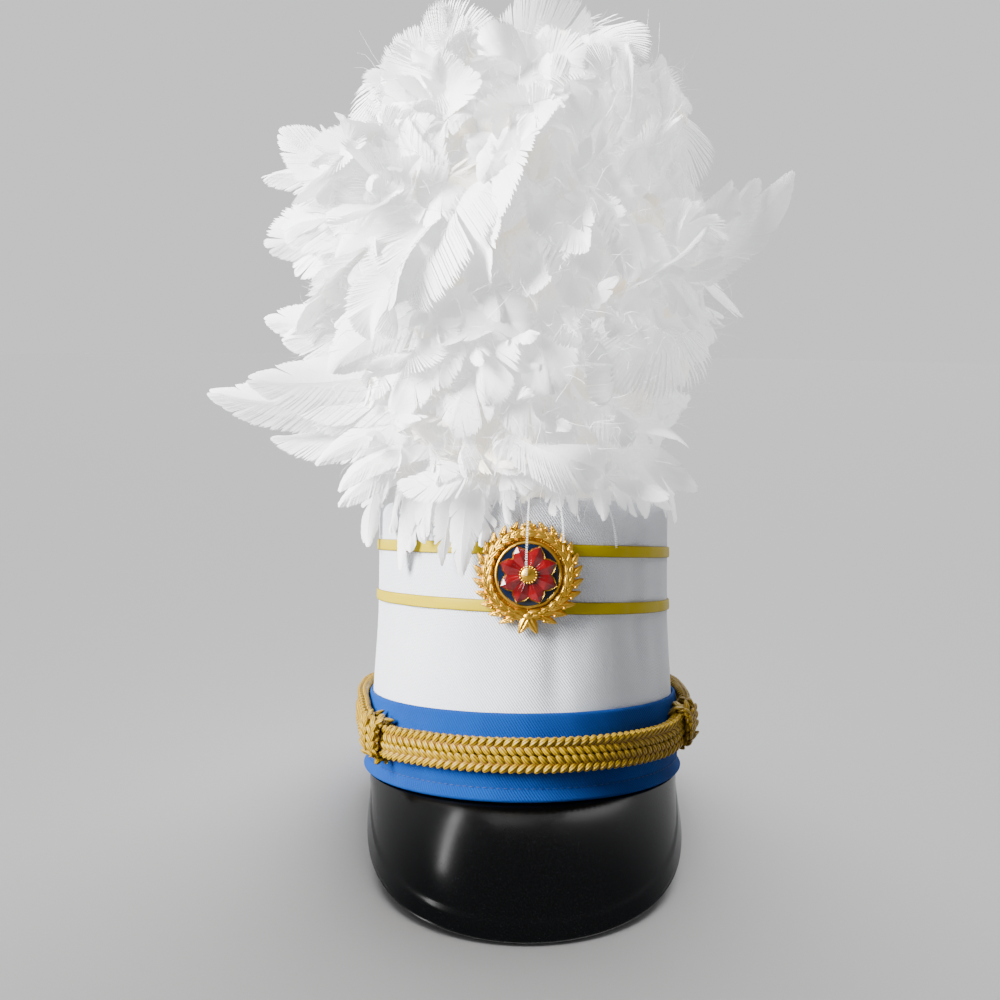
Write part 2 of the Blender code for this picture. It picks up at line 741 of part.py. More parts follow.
def disc_mesh(name, radius, back, front, crest, place):
    """A round plate from back to front, its face domed by crest, on the surface that place gives."""
    points = []
    for share, ahead in ((0.0, back), (0.6, back), (1.0, back), (1.0, front), (0.6, front + 0.6 * crest)):
        for side in range(DISC_SIDES):
            angle = math.tau * side / DISC_SIDES
            reach = radius * max(share, 0.05)
            points.append(place(reach * math.cos(angle), reach * math.sin(angle), ahead))
    for side in range(DISC_SIDES):
        angle = math.tau * side / DISC_SIDES
        reach = 0.05 * radius
        points.append(place(reach * math.cos(angle), reach * math.sin(angle), front + crest))
    return mesh_of(name, points, capped_faces(6, DISC_SIDES))


# Badge


def badge_back():
    """How far the badge's back stands in front of the crown's surface."""
    return 2.0 * GAP + RIBBON_THICKNESS


def badge_place(across, up, ahead):
    """A point of the badge: across and up from its centre, and ahead of its back at that place."""
    share = smooth_column(CROWN_SECTIONS, 1, BADGE_LEVEL / CROWN_HEIGHT)
    front = oval_point(0.0, badge_back(), BADGE_LEVEL)
    curve = math.sqrt(max(1.0 - (across / (0.5 * FOOT_WIDTH * share)) ** 2, 0.0))
    sag = BADGE_CURVE_SHARE * 0.5 * FOOT_LENGTH * share * (1.0 - curve)
    return front + Vector((across, sag - ahead, up))


def leaf_mesh(name, root, aim, length, lift, width=None):
    """A leaf in low relief on the badge's plate, from its root along its aim."""

    def path(share):
        spot = root + aim * (length * share)
        return badge_place(spot.x, spot.y, lift)

    side_way = Vector((-aim.y, 0.0, aim.x))
    return blade_mesh(name, path, side_way, width or LEAF_WIDTH, LEAF_THICKNESS, 0.0, LEAF_SECTIONS)


def wreath_leaves():
    """Two rows of leaves on each side, from the bow at the foot up to a gap at the top."""
    leaves = []
    for side in (-1.0, 1.0):
        for index in range(LEAVES_A_SIDE):
            share = index / (LEAVES_A_SIDE - 1)
            turn = math.radians(WREATH_FROM + (WREATH_TO - WREATH_FROM) * share)
            spot = Vector((side * math.cos(turn), math.sin(turn)))
            climb = Vector((-side * math.sin(turn), math.cos(turn)))
            for lean, size, lift in LEAF_ROWS:
                aim = (climb * math.cos(lean) + spot * math.sin(lean)).normalized()
                length = LEAF_LENGTH * size * (1.0 - LEAF_TAPER * share)
                name = f"leaf_{len(leaves)}"
                leaves.append(leaf_mesh(name, spot * LEAF_ROW_RADIUS, aim, length, lift))
    return leaves


def bow():
    """Two loops, two tails and a tie at the wreath's foot."""
    tie = Vector((0.0, -LEAF_ROW_RADIUS))
    made = []
    for index, (degrees, size) in enumerate(BOW_STRIPS):
        aim = Vector((math.cos(math.radians(degrees)), math.sin(math.radians(degrees))))
        start = tie - aim * BOW_STRIP_OVERLAP
        length = BOW_STRIP_LENGTH * size
        made.append(leaf_mesh(f"bow_{index}", start, aim, length, BOW_LIFT, BOW_STRIP_WIDTH))
    return made


def badge_wreath(finish, parent):
    plate = disc_mesh("plate", BADGE_PLATE_RADIUS, 0.0, BADGE_PLATE_THICKNESS, 0.0, badge_place)
    piece = link("badge_wreath", plate, finish, parent)
    reach = badge_back() + CROWN_WALL + GAP + BADGE_NUT_THICKNESS + GAP
    post = [(0.5 * BADGE_POST_DIAMETER, -reach), (0.5 * BADGE_POST_DIAMETER, 0.5 * BADGE_PLATE_THICKNESS)]
    front = badge_place(0.0, 0.0, 0.0)
    post_points = turned(post, POST_SIDES, front, Vector((0, -1, 0)))
    post_mesh = mesh_of("post", post_points, capped_faces(len(post), POST_SIDES))
    fuse(piece, "relief", wreath_leaves() + bow() + [post_mesh])


def badge_nut(finish, parent):
    """A round nut on the badge's post, against the inside of the crown's wall."""
    inner = 0.5 * BADGE_POST_DIAMETER + GAP
    outer = 0.5 * BADGE_NUT_DIAMETER
    wall = oval_point(0.0, -CROWN_WALL - GAP, BADGE_LEVEL)
    deep = -BADGE_NUT_THICKNESS
    sag = 0.5 * outer * outer / (0.5 * FOOT_WIDTH)
    profile = [(inner, -sag), (outer, -sag), (outer, deep), (inner, deep)]
    points = turned(profile, POST_SIDES, wall, Vector((0, -1, 0)))
    faces = ring_faces(len(profile), POST_SIDES, True)
    link("badge_nut", mesh_of("badge_nut", points, faces), finish, parent)


def badge_disc(finish, parent):
    back = BADGE_PLATE_THICKNESS + GAP
    mesh = disc_mesh("badge_disc", DISC_RADIUS, back, back + DISC_THICKNESS, DISC_DOME, badge_place)
    link("badge_disc", mesh, finish, parent)


def rosette_back():
    return BADGE_PLATE_THICKNESS + DISC_THICKNESS + DISC_DOME + 2.0 * GAP


def badge_rosette(finish, parent):
    """Petals round a boss, each with a ridge down its middle."""
    back = rosette_back()
    boss = disc_mesh("boss", BOSS_RADIUS, back, back + PETAL_THICKNESS, BOSS_RISE, badge_place)
    piece = link("badge_rosette", boss, finish, parent)
    petals = []
    for index in range(ROSETTE_PETALS):
        turn = math.tau * (index + 0.5) / ROSETTE_PETALS
        aim = Vector((math.cos(turn), math.sin(turn)))

        def path(share, aim=aim):
            spot = aim * (PETAL_ROOT_RADIUS + (ROSETTE_RADIUS - PETAL_ROOT_RADIUS) * share)
            return badge_place(spot.x, spot.y, back + 0.5 * PETAL_THICKNESS)

        side_way = Vector((-aim.y, 0.0, aim.x))
        petal = blade_mesh("petal", path, side_way, PETAL_WIDTH, PETAL_THICKNESS, 0.0, PETAL_SECTIONS)
        petals.append(petal)
    fuse(piece, "petals", petals)


# Plume


def plume_foot():
    """The middle of the plume's stem, level with the crown's top face."""
    return oval_point(0.0, -PLUME_SETBACK, CROWN_HEIGHT)


def sleeve_radius():
    return 0.5 * PLUME_STEM_DIAMETER + GAP


def plume_reach(share, angle):
    """How far the plume's outline lies from its stem, at a share of its height and a front-based angle."""
    left, right, front, back = (smooth_column(PLUME_OUTLINE, column, share) for column in (1, 2, 3, 4))
    across = 0.5 * PLUME_WIDTH * (right if math.sin(angle) > 0.0 else left)
    along = 0.5 * PLUME_DEPTH * (front if math.cos(angle) > 0.0 else back)
    return 1.0 / math.hypot(math.sin(angle) / across, math.cos(angle) / along)


def lock_path(root, tip, lift, droop):
    """A smooth curve that leaves the core rising by lift and reaches the tip falling by droop."""
    run = Vector((tip.x - root.x, tip.y - root.y, 0.0))
    length = (tip - root).length
    outward = run.normalized()
    leave = (outward + Vector((0, 0, lift))).normalized() * length
    arrive = (outward - Vector((0, 0, droop))).normalized() * length

    def path(share):
        t = share
        place = root * ((1.0 + 2.0 * t) * (1.0 - t) ** 2) + tip * (t * t * (3.0 - 2.0 * t))
        place += leave * (t * (1.0 - t) ** 2) - arrive * (t * t * (1.0 - t))
        place.z = max(place.z, CROWN_HEIGHT + LOCK_CLEARANCE)
        return place

    return path


def core_radius(share):
    """Where a lock's root lies, in the middle of the core's wall."""
    return 0.5 * PLUME_CORE_DIAMETER * smooth_column(CORE_SECTIONS, 1, share) - 0.5 * CORE_WALL


def tier_locks(draw):
    """Rings of locks up the core, each tip on the plume's outline."""
    foot = plume_foot()
    locks = []
    for tier, (root_share, tip_share, count, reach, width, lift, droop) in enumerate(PLUME_TIERS):
        for index in range(count):
            stagger = 0.5 * (tier % 2) + draw.uniform(-TURN_JITTER, TURN_JITTER)
            angle = math.tau * (index + stagger) / count
            level = tip_share + draw.uniform(-LEVEL_JITTER, LEVEL_JITTER)
            far = plume_reach(level, angle) * reach * (1.0 - draw.uniform(0.0, REACH_JITTER))
            if tier == 0 and math.cos(angle) > 0.0:
                # The feathers that hang over the front take this tier's place there.
                continue
            heading = Vector((math.sin(angle), -math.cos(angle), 0.0))
            root = foot + heading * core_radius(root_share) + Vector((0, 0, root_share * PLUME_HEIGHT))
            tip = foot + heading * far + Vector((0, 0, level * PLUME_HEIGHT))
            roll = draw.uniform(-ROLL_JITTER, ROLL_JITTER)
            side_way = Vector((heading.y, -heading.x, roll)).normalized()
            path = lock_path(root, tip, lift, droop)
            broad = width * (1.0 + draw.uniform(-WIDTH_JITTER, WIDTH_JITTER))
            lock = blade_mesh("lock", path, side_way, broad, LOCK_THICKNESS, LOCK_CAMBER, LOCK_SECTIONS)
            locks.append(lock)
    return locks


def stray_locks():
    foot = plume_foot()
    locks = []
    for root_share, across, along, up, width, lift, droop in PLUME_STRAYS:
        tip = foot + Vector((across * 0.5 * PLUME_WIDTH, along * 0.5 * PLUME_DEPTH, up * PLUME_HEIGHT))
        heading = Vector((tip.x - foot.x, tip.y - foot.y, 0.0)).normalized()
        root = foot + heading * core_radius(root_share) + Vector((0, 0, root_share * PLUME_HEIGHT))
        side_way = Vector((heading.y, -heading.x, STRAY_ROLL * heading.x)).normalized()
        path = lock_path(root, tip, lift, droop)
        lock = blade_mesh("stray", path, side_way, width, LOCK_THICKNESS, LOCK_CAMBER, LOCK_SECTIONS)
        locks.append(lock)
    return locks


def drop_locks():
    """Feathers that lie over the crown's top edge and hang down in front of it."""
    foot = plume_foot()
    locks = []
    for degrees, tip_level, stand_off, width in PLUME_DROPS:
        angle = math.radians(degrees)
        top = CROWN_HEIGHT
        over = oval_point(angle, -DROP_SETBACK, top) - foot
        heading = Vector((over.x, over.y, 0.0)).normalized()
        knots = [
            foot + heading * core_radius(DROP_ROOT_SHARE) + Vector((0, 0, DROP_ROOT_SHARE * PLUME_HEIGHT)),
            oval_point(angle, -DROP_SETBACK, top) + Vector((0, 0, 2.0 * LOCK_CLEARANCE)),
            oval_point(angle, 0.6 * stand_off, top) + Vector((0, 0, 1.2 * LOCK_CLEARANCE)),
            oval_point(angle, stand_off, 0.5 * (top + tip_level)),
            oval_point(angle, 0.9 * stand_off, tip_level),
        ]

        def path(share, knots=knots):
            table = [(step / 4.0, *knot) for step, knot in enumerate(knots)]
            return Vector([smooth_column(table, axis, share) for axis in (1, 2, 3)])

        outward = oval_normal(angle, top)
        side_way = Vector((outward.y, -outward.x, 0.0))
        camber = 0.5 * LOCK_CAMBER
        drop = blade_mesh("drop", path, side_way, width, LOCK_THICKNESS, camber, DROP_SECTIONS)
        locks.append(drop)
    return locks


def plume(finish, parent):
    foot = plume_foot()
    stem = 0.5 * PLUME_STEM_DIAMETER
    core = 0.5 * PLUME_CORE_DIAMETER
    outer = [(core * broad, share * PLUME_HEIGHT) for share, broad in CORE_SECTIONS]
    inner = [(radius - CORE_WALL, level) for radius, level in outer[:-1]]
    profile = [(stem, -SLEEVE_LENGTH), (stem, outer[-1][1] - 2.0 * CORE_WALL)] + inner[::-1] + outer
    points = turned(profile, CORE_SIDES, foot, Vector((0, 0, 1)))
    body = mesh_of("core", points, capped_faces(len(profile), CORE_SIDES))
    piece = link("plume", body, finish, parent)
    draw = np.random.default_rng(LOCK_SEED)
    locks = fuse(piece, "locks", tier_locks(draw) + stray_locks() + drop_locks(), "MANIFOLD")
    keep_outer_shell(piece, locks)


def plume_socket(finish, parent):
    """A flanged sleeve through the crown's top, open at both ends, which the plume's stem stands in."""
    inner = sleeve_radius()
    outer = inner + SLEEVE_WALL
    flange = 0.5 * SLEEVE_FLANGE_DIAMETER
    top = GAP + SLEEVE_FLANGE_THICKNESS
    profile = [(inner, top), (flange, top), (flange, GAP), (outer, GAP)]
    profile += [(outer, -SLEEVE_LENGTH), (inner, -SLEEVE_LENGTH)]
    points = turned(profile, SLEEVE_SIDES, plume_foot(), Vector((0, 0, 1)))
    faces = ring_faces(len(profile), SLEEVE_SIDES, True)
    link("plume_socket", mesh_of("plume_socket", points, faces), finish, parent)


# Standing on the floor


def world_points(pieces):
    bpy.context.view_layer.update()
    graph = bpy.context.evaluated_depsgraph_get()
    places = []
    for piece in pieces:
        evaluated = piece.evaluated_get(graph)
        places += [evaluated.matrix_world @ vertex.co for vertex in evaluated.data.vertices]
    return np.array(places)


def lean_to_floor(rest, front, back):
    """Leans the hat back until its peak and the back of its rim are equally low."""
    low, high = 0.0, math.radians(40.0)
    peak_places = world_points([front])
    rim_places = world_points([back])
    for _ in range(40):
        lean = 0.5 * (low + high)
        down = np.array([0.0, -math.sin(lean), math.cos(lean)])
        if (peak_places @ down).min() < (rim_places @ down).min():
            low = lean
        else:
            high = lean
    rest.rotation_euler = (-lean, 0.0, 0.0)


def centre_on_floor(rest, pieces):
    places = world_points(pieces)
    low = places.min(axis=0)
    high = places.max(axis=0)
    rest.location = (-0.5 * (low[0] + high[0]), -0.5 * (low[1] + high[1]), -low[2])


def main():
    for leftover in list(bpy.data.objects):
        bpy.data.objects.remove(leftover)
    rest = bpy.data.objects.new("hat_rest", None)
    bpy.context.scene.collection.objects.link(rest)
    white_cloth = material("white_twill", (0.80, 0.81, 0.84), 0.85)
    yellow_satin = material("yellow_satin", (0.86, 0.62, 0.03), 0.40)
    blue_cloth = material("blue_cloth", (0.004, 0.13, 0.56), 0.80)
    black_plastic = material("black_plastic", (0.006, 0.007, 0.008), 0.12)
    gold_yarn = material("gold_yarn", (0.72, 0.44, 0.05), 0.45, 0.3)
    gilt = material("gilt", (0.86, 0.60, 0.16), 0.30, 1.0)
    blue_enamel = material("blue_enamel", (0.01, 0.025, 0.07), 0.15)
    red_enamel = material("red_enamel", (0.42, 0.008, 0.015), 0.12)
    feathers = material("white_feather", (0.90, 0.90, 0.90), 0.75)
    plain_metal = material("plain_metal", (0.55, 0.55, 0.57), 0.35, 1.0)
    crown(white_cloth, rest)
    ribbon("ribbon_upper", UPPER_RIBBON_LEVEL, UPPER_RIBBON_SLOPE, yellow_satin, rest)
    ribbon("ribbon_lower", LOWER_RIBBON_LEVEL, LOWER_RIBBON_SLOPE, yellow_satin, rest)
    band = base_band(blue_cloth, rest)
    visor = peak(black_plastic, rest)
    front_cord(gold_yarn, rest)
    cord_knot("cord_knot_left", KNOT_LEFT_ANGLE, gold_yarn, rest)
    cord_knot("cord_knot_right", KNOT_RIGHT_ANGLE, gold_yarn, rest)
    side_button("side_button_left", -1.0, gilt, rest)
    side_button("side_button_right", 1.0, gilt, rest)
    badge_wreath(gilt, rest)
    badge_nut(plain_metal, rest)
    badge_disc(blue_enamel, rest)
    badge_rosette(red_enamel, rest)
    plume(feathers, rest)
    plume_socket(plain_metal, rest)
    lean_to_floor(rest, visor, band)
    pieces = [piece for piece in rest.children if not piece.hide_render]
    centre_on_floor(rest, pieces)


main()
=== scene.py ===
"""The marching band hat's looks: twill, satin, braid, gloss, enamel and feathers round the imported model.

Metres, +Z up. Every piece is made in the hat's own upright frame, with the lowest plane of its rim at height
0, the crown's axis at the origin and the front facing -Y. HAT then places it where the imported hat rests.
"""

import json
import math

import bpy
import numpy as np
from mathutils import Matrix, Vector


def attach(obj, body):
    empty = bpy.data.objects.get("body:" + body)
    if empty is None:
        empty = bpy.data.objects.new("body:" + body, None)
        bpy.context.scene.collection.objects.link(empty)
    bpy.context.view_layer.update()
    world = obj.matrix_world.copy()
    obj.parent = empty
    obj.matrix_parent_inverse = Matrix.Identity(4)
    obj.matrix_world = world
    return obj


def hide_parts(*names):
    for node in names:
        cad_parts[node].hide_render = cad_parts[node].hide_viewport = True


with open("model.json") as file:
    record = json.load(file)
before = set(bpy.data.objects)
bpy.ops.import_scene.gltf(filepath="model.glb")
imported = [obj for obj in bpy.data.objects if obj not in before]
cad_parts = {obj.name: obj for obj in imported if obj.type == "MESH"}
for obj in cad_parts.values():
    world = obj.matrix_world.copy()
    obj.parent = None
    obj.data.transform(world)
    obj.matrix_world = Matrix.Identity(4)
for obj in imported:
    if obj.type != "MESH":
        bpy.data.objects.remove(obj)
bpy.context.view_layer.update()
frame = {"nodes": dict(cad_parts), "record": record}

GAP = 0.0003
UP = np.array([0.0, 0.0, 1.0])

# How finely the cloth is divided round the hat
CROWN_COLUMNS = 216
RIBBON_COLUMNS = 288
BAND_COLUMNS = 360

# The hat's driving sizes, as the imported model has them
FOOT_WIDTH = 0.170
FOOT_LENGTH = 0.201
CROWN_HEIGHT = 0.145
CROWN_WALL = 0.0025
FOOT_LIFT = 0.002
TOP_EDGE_RADIUS = 0.006
TOP_MOUNT_SETBACK = 0.040

RIBBON_HEIGHT = 0.006
RIBBON_THICKNESS = 0.0008
RIBBON_WAVE = 0.00012
UPPER_RIBBON_LEVEL = 0.831 * CROWN_HEIGHT
LOWER_RIBBON_LEVEL = 0.638 * CROWN_HEIGHT
UPPER_RIBBON_SLOPE = -0.022
LOWER_RIBBON_SLOPE = -0.030

BAND_HEIGHT = 0.042
BAND_THICKNESS = 0.0015
BAND_BULGE = 0.0012
BAND_RIPPLE = 0.00022
HEM_RADIUS = 0.0018
HEM_STITCH_LEVEL = 0.0065
STITCH_LENGTH = 0.0026
STITCH_PITCH = 0.0036
STITCH_RADIUS = 0.00030
STITCH_PUCKER = 0.00012
HEM_HOLLOW = 0.00045
HEM_HOLLOW_WIDTH = 0.0009

PEAK_WALL = 0.0018
PEAK_REACH = 0.042
PEAK_DROP = 0.0515
PEAK_WIDTH = 0.1628
PEAK_SIDE_DEPTH = 0.030
PEAK_PLAN_POWER = 0.70
PEAK_DROP_POWER = 0.507
PEAK_BULGE = 0.0035
PEAK_FLANGE_HEIGHT = 0.010
PEAK_ROOT_ANGLE = math.radians(70.5)
PEAK_END_ANGLE = math.radians(88.0)
PEAK_RIM_WIDTH = 0.0085
PEAK_RIM_RISE = 0.0005
PEAK_RIM_STEP = 0.0011
PEAK_LIP = 0.0004
PEAK_COLUMNS = 161
PEAK_ROWS = 48

CORD_HEIGHT = 0.0078
CORD_DEPTH = 0.0062
CORD_SEAT = 0.0004
CORD_LEVEL = 0.0233
CORD_SIDE_LEVEL = 0.0350
CORD_RISE_FROM = math.radians(46.0)
CORD_RISE_TO = math.radians(86.0)
BUTTON_ANGLE = math.radians(110.0)
BUTTON_SHANK_DIAMETER = 0.0040
BUTTON_BASE_THICKNESS = 0.0010
BUTTON_BASE_DIAMETER = 0.0100
BUTTON_DOME_DIAMETER = 0.0130
BUTTON_DOME_HEIGHT = 0.0038
BUTTON_LIP = 0.0010
BUTTON_BEAD_RADIUS = 0.00042
PLAIT_PITCH = 0.0040
YARNS_A_BUNDLE = 5.0
BUNDLE_SIDES = 10
BUNDLE_RINGS = 9

KNOT_LENGTH = 0.0155
KNOT_INNER_WALL = 0.0008
KNOT_OUTER_WALL = 0.0026
KNOT_CLEARANCE = 0.0008
KNOT_LEFT_ANGLE = math.radians(-54.0)
KNOT_RIGHT_ANGLE = math.radians(65.0)
KNOT_WRAPS = 2
KNOT_SLANT = 0.0014

BADGE_LEVEL = 0.748 * CROWN_HEIGHT
BADGE_PLATE_RADIUS = 0.0225
BADGE_PLATE_THICKNESS = 0.0016
BADGE_CURVE_SHARE = 0.60
BADGE_POST_DIAMETER = 0.0040
PLATE_BEAD_RADIUS = 0.00046
POST_TIP_REACH = 0.0025
POST_CHAMFER = 0.0004
BERRY_RADIUS = 0.00085
BERRY_OUT = 0.0036
BERRY_AHEAD = 0.0022
DISC_RADIUS = 0.0160
DISC_THICKNESS = 0.0014
DISC_DOME = 0.0008
DISC_RIM_RADIUS = 0.0007
DISC_RIM_INSET = 0.0006
DISC_RIM_SINK = 0.0004
DISC_FACE_SINK = 0.0003
ROSETTE_RADIUS = 0.0148
ROSETTE_PETALS = 8
BOSS_RADIUS = 0.0046
BOSS_RISE = 0.0012
BOSS_BEAD_RADIUS = 0.0006
PETAL_WIDTH = 0.0100
PETAL_THICKNESS = 0.0018
PETAL_ROOT = 0.0012
PETAL_BASE = 0.0006
PETAL_INSET = 0.0005
PETAL_CREST = 0.0011
CELL_CREST = 0.0002
LEAF_ROW_RADIUS = 0.0200
LEAF_LENGTH = 0.0102
LEAF_WIDTH = 0.0037
LEAF_THICKNESS = 0.0020
LEAF_TAPER = 0.18
LEAVES_A_SIDE = 12
WREATH_FROM = -76.0
WREATH_TO = 78.0
BOW_STRIP_LENGTH = 0.0125
BOW_STRIP_WIDTH = 0.0052
BOW_STRIP_OVERLAP = 0.0019
BOW_LIFT = 0.0020
BOW_KNOT_SIZE = (0.0024, 0.0014, 0.0019)

PLUME_HEIGHT = 0.243
PLUME_WIDTH = 0.200
PLUME_DEPTH = 0.160
PLUME_SETBACK = 0.025
PLUME_CORE_DIAMETER = 0.058
PLUME_STEM_DIAMETER = 0.0046
SLEEVE_LENGTH = 0.036
SHAFT_RADIUS = 0.00045
SHAFT_RINGS = 12
WISP_WIDTH = 0.00013
WISP_COUNT = 6000
FEATHER_SEED = 11
GOLDEN_SHARE = 0.6180339
TOP_CLEARANCE = 0.0012
SIDE_CLEARANCE = 0.0014
EDGE_DEPTH = 0.012

# The camera's place, in the hat's own frame, and its lens
EYE_DISTANCE = 0.620
EYE_LEVEL = 0.125
EYE_YAW = math.radians(-1.5)
EYE_ROLL = math.radians(0.30)
LENS_SHARE = 1.088
SENSOR_WIDTH = 36.0
SHIFT_ACROSS = -0.023
SHIFT_UP = 0.040

# Studio lights: place and power
KEY_PLACE = (-1.30, -0.62, 0.95)
KEY_POWER = 165.0
FILL_PLACE = (1.30, -1.30, 0.70)
FILL_POWER = 1.0
STRIP_PLACE = (-0.746, -0.005, 1.100)
STRIP_TARGET = (-0.024, -0.096, 0.029)
STRIP_ALONG = (-0.280, -0.506, -0.162)
STRIP_POWER = 2.4
RIM_PLACE = (1.30, 0.10, 0.75)
RIM_POWER = 16.0
SKY_FROM = (0.10, 0.75, 0.90)
SKY_STRENGTH = 3.3
WORLD_FRONT = 0.16
WORLD_BACK = 0.90

# Crown outline: share of its height, share of its girth at the foot
CROWN_SECTIONS = (
    (0.00, 1.000),
    (0.28, 0.986),
    (0.62, 0.957),
    (1.00, 0.955),
)

# Soft upright hollows in the crown's cloth: angle and half width in degrees, depth, lowest and highest level
CROWN_HOLLOWS = (
    (9.5, 4.2, 0.0017, 0.030, 0.105),
    (17.0, 4.5, 0.0008, 0.045, 0.125),
    (44.0, 5.0, 0.0018, 0.040, 0.150),
    (57.0, 5.0, 0.0009, 0.030, 0.130),
    (-12.0, 7.0, 0.0006, 0.035, 0.090),
    (-40.0, 9.0, 0.0010, 0.060, 0.150),
    (-64.0, 7.0, 0.0010, 0.020, 0.120),
    (96.0, 6.0, 0.0010, 0.040, 0.135),
    (118.0, 9.0, 0.0012, 0.030, 0.140),
    (151.0, 7.0, 0.0012, 0.030, 0.120),
    (-98.0, 7.0, 0.0011, 0.035, 0.135),
    (-125.0, 11.0, 0.0012, 0.030, 0.130),
    (-158.0, 6.0, 0.0010, 0.040, 0.125),
)

# Rows of wreath leaves: lean outward in radians, share of the leaf's length, lift off the plate's back
LEAF_ROWS = (
    (0.66, 1.00, 0.0014),
    (0.10, 0.86, 0.0018),
    (-0.40, 0.78, 0.0020),
)

# Strips of the bow: direction in degrees, share of the strip's length
BOW_STRIPS = (
    (18.0, 1.00),
    (162.0, 1.00),
    (-62.0, 0.92),
    (-118.0, 0.92),
)

# Plume core: share of the plume's height, share of the core's girth
CORE_SECTIONS = (
    (0.00, 0.50),
    (0.25, 1.00),
    (0.50, 0.94),
    (0.74, 0.70),
    (0.88, 0.30),
)

# Plume outline: share of its height, then reach to left and right as shares of half its width, and
# reach to front and back as shares of half its depth
PLUME_OUTLINE = (
    (0.00, 0.70, 0.66, 0.50, 0.62),
    (0.10, 0.90, 0.68, 0.72, 0.80),
    (0.20, 1.04, 0.80, 0.90, 0.94),
    (0.32, 1.14, 0.92, 1.00, 1.00),
    (0.45, 1.06, 1.02, 1.00, 1.02),
    (0.55, 1.16, 1.02, 0.98, 1.02),
    (0.65, 1.10, 0.80, 0.94, 1.00),
    (0.76, 0.84, 0.80, 0.88, 0.94),
    (0.88, 0.70, 0.80, 0.76, 0.82),
    (0.95, 0.48, 0.58, 0.56, 0.60),
    (1.00, 0.16, 0.20, 0.20, 0.20),
)

# Single feathers that stand out: root height share, then the tip's place as shares of half the plume's
# width, half its depth and its height, then width in metres, launch lift and tip droop
PLUME_STRAYS = (
    (0.24, -1.50, -0.20, 0.205, 0.036, 0.10, -0.25),
    (0.30, -1.28, 0.10, 0.372, 0.040, 0.30, -0.15),
    (0.46, -1.24, 0.05, 0.530, 0.052, 0.45, 0.35),
    (0.52, -1.24, -0.15, 0.655, 0.046, 0.50, 0.15),
    (0.16, -0.99, -0.30, 0.075, 0.026, 0.30, 0.70),
    (0.44, 1.30, -0.10, 0.662, 0.032, -0.10, -1.60),
    (0.42, 0.99, -0.30, 0.570, 0.022, 0.40, -0.10),
    (0.12, 0.80, -0.20, 0.030, 0.024, 0.20, 0.60),
    (0.62, 0.80, 0.10, 0.840, 0.032, 1.10, 0.60),
    (0.60, -0.78, 0.05, 0.800, 0.032, 1.20, 0.30),
)

# Feathers that hang over the crown's edge: angles of the tip and the root from the front in degrees, level
# of the tip, distance in front of the crown, width
PLUME_DROPS = (
    (-76.0, -72.0, 0.1290, 0.0060, 0.020),
    (-48.0, -42.0, 0.1130, 0.0055, 0.020),
    (-36.0, -34.0, 0.1260, 0.0065, 0.018),
    (-21.0, -26.0, 0.1110, 0.0100, 0.021),
    (-0.8, 6.0, 0.1085, 0.0118, 0.0004),
    (10.5, 2.0, 0.1240, 0.0105, 0.0006),
    (29.0, 2.0, 0.1215, 0.0085, 0.0004),
    (24.0, 22.0, 0.1370, 0.0090, 0.016),
    (44.0, 40.0, 0.1390, 0.0060, 0.018),
    (72.0, 66.0, 0.1370, 0.0060, 0.020),
)

# Short feathers over the crown's top edge: angle from the front in degrees, level of the tip, width
PLUME_SKIRT = (
    (-84.0, 0.1330, 0.026),
    (-68.0, 0.1240, 0.028),
    (-57.0, 0.1310, 0.030),
    (-44.0, 0.1230, 0.030),
    (-33.0, 0.1290, 0.026),
    (-27.0, 0.1160, 0.026),
    (-16.0, 0.1250, 0.024),
    (-6.0, 0.1350, 0.022),
    (8.0, 0.1390, 0.020),
    (17.0, 0.1360, 0.018),
    (34.0, 0.1390, 0.022),
    (55.0, 0.1400, 0.024),
    (83.0, 0.1380, 0.024),
)

# Groups of feathers over the plume: name, number, lowest and highest level share, share of the outline's
# reach from and to, length from and to, width share, how far the barbs part, how far the tips stand out
# and how freely the feathers turn over the plume
FEATHER_GROUPS = (
    ("outer_low", 95, 0.02, 0.40, 0.86, 1.00, 0.060, 0.095, 0.60, 0.28, 0.35, 0.70),
    ("outer_mid", 95, 0.30, 0.72, 0.86, 1.00, 0.065, 0.105, 0.62, 0.22, 0.25, 0.90),
    ("outer_high", 85, 0.65, 0.865, 0.86, 0.97, 0.055, 0.080, 0.60, 0.25, 0.10, 0.90),
    ("crest", 40, 0.85, 0.905, 0.25, 0.96, 0.048, 0.066, 0.60, 0.35, -0.20, 0.60),
    ("inner_low", 90, 0.00, 0.50, 0.62, 0.86, 0.050, 0.080, 0.58, 0.60, 0.30, 1.20),
    ("inner_high", 90, 0.45, 0.86, 0.62, 0.86, 0.050, 0.075, 0.58, 0.60, 0.20, 1.20),
    ("tufts", 110, 0.02, 0.86, 0.90, 1.00, 0.030, 0.050, 0.66, 0.80, 0.60, 1.40),
)


# The hat's frame


def hat_frame():
    """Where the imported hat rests, read from the flat face on its top."""
    mount = next(m for m in frame["record"]["mounts"] if m["name"] == "crown_top")
    lean = math.atan2(mount["axis"][1], mount["axis"][2])
    turn = Matrix.Rotation(-lean, 4, "X")
    foot = Matrix.Translation((0, -TOP_MOUNT_SETBACK, -CROWN_HEIGHT))
    return Matrix.Translation(mount["pos_m"]) @ turn @ foot


HAT = hat_frame()
GIRTH = 0.25 * math.tau * (FOOT_WIDTH + FOOT_LENGTH)


# Curves and surfaces


def eased(value, start, end):
    """0 before start, 1 after end, and a smooth rise between them."""
    t = np.clip((np.asarray(value, float) - start) / (end - start), 0.0, 1.0)
    return t * t * (3.0 - 2.0 * t)


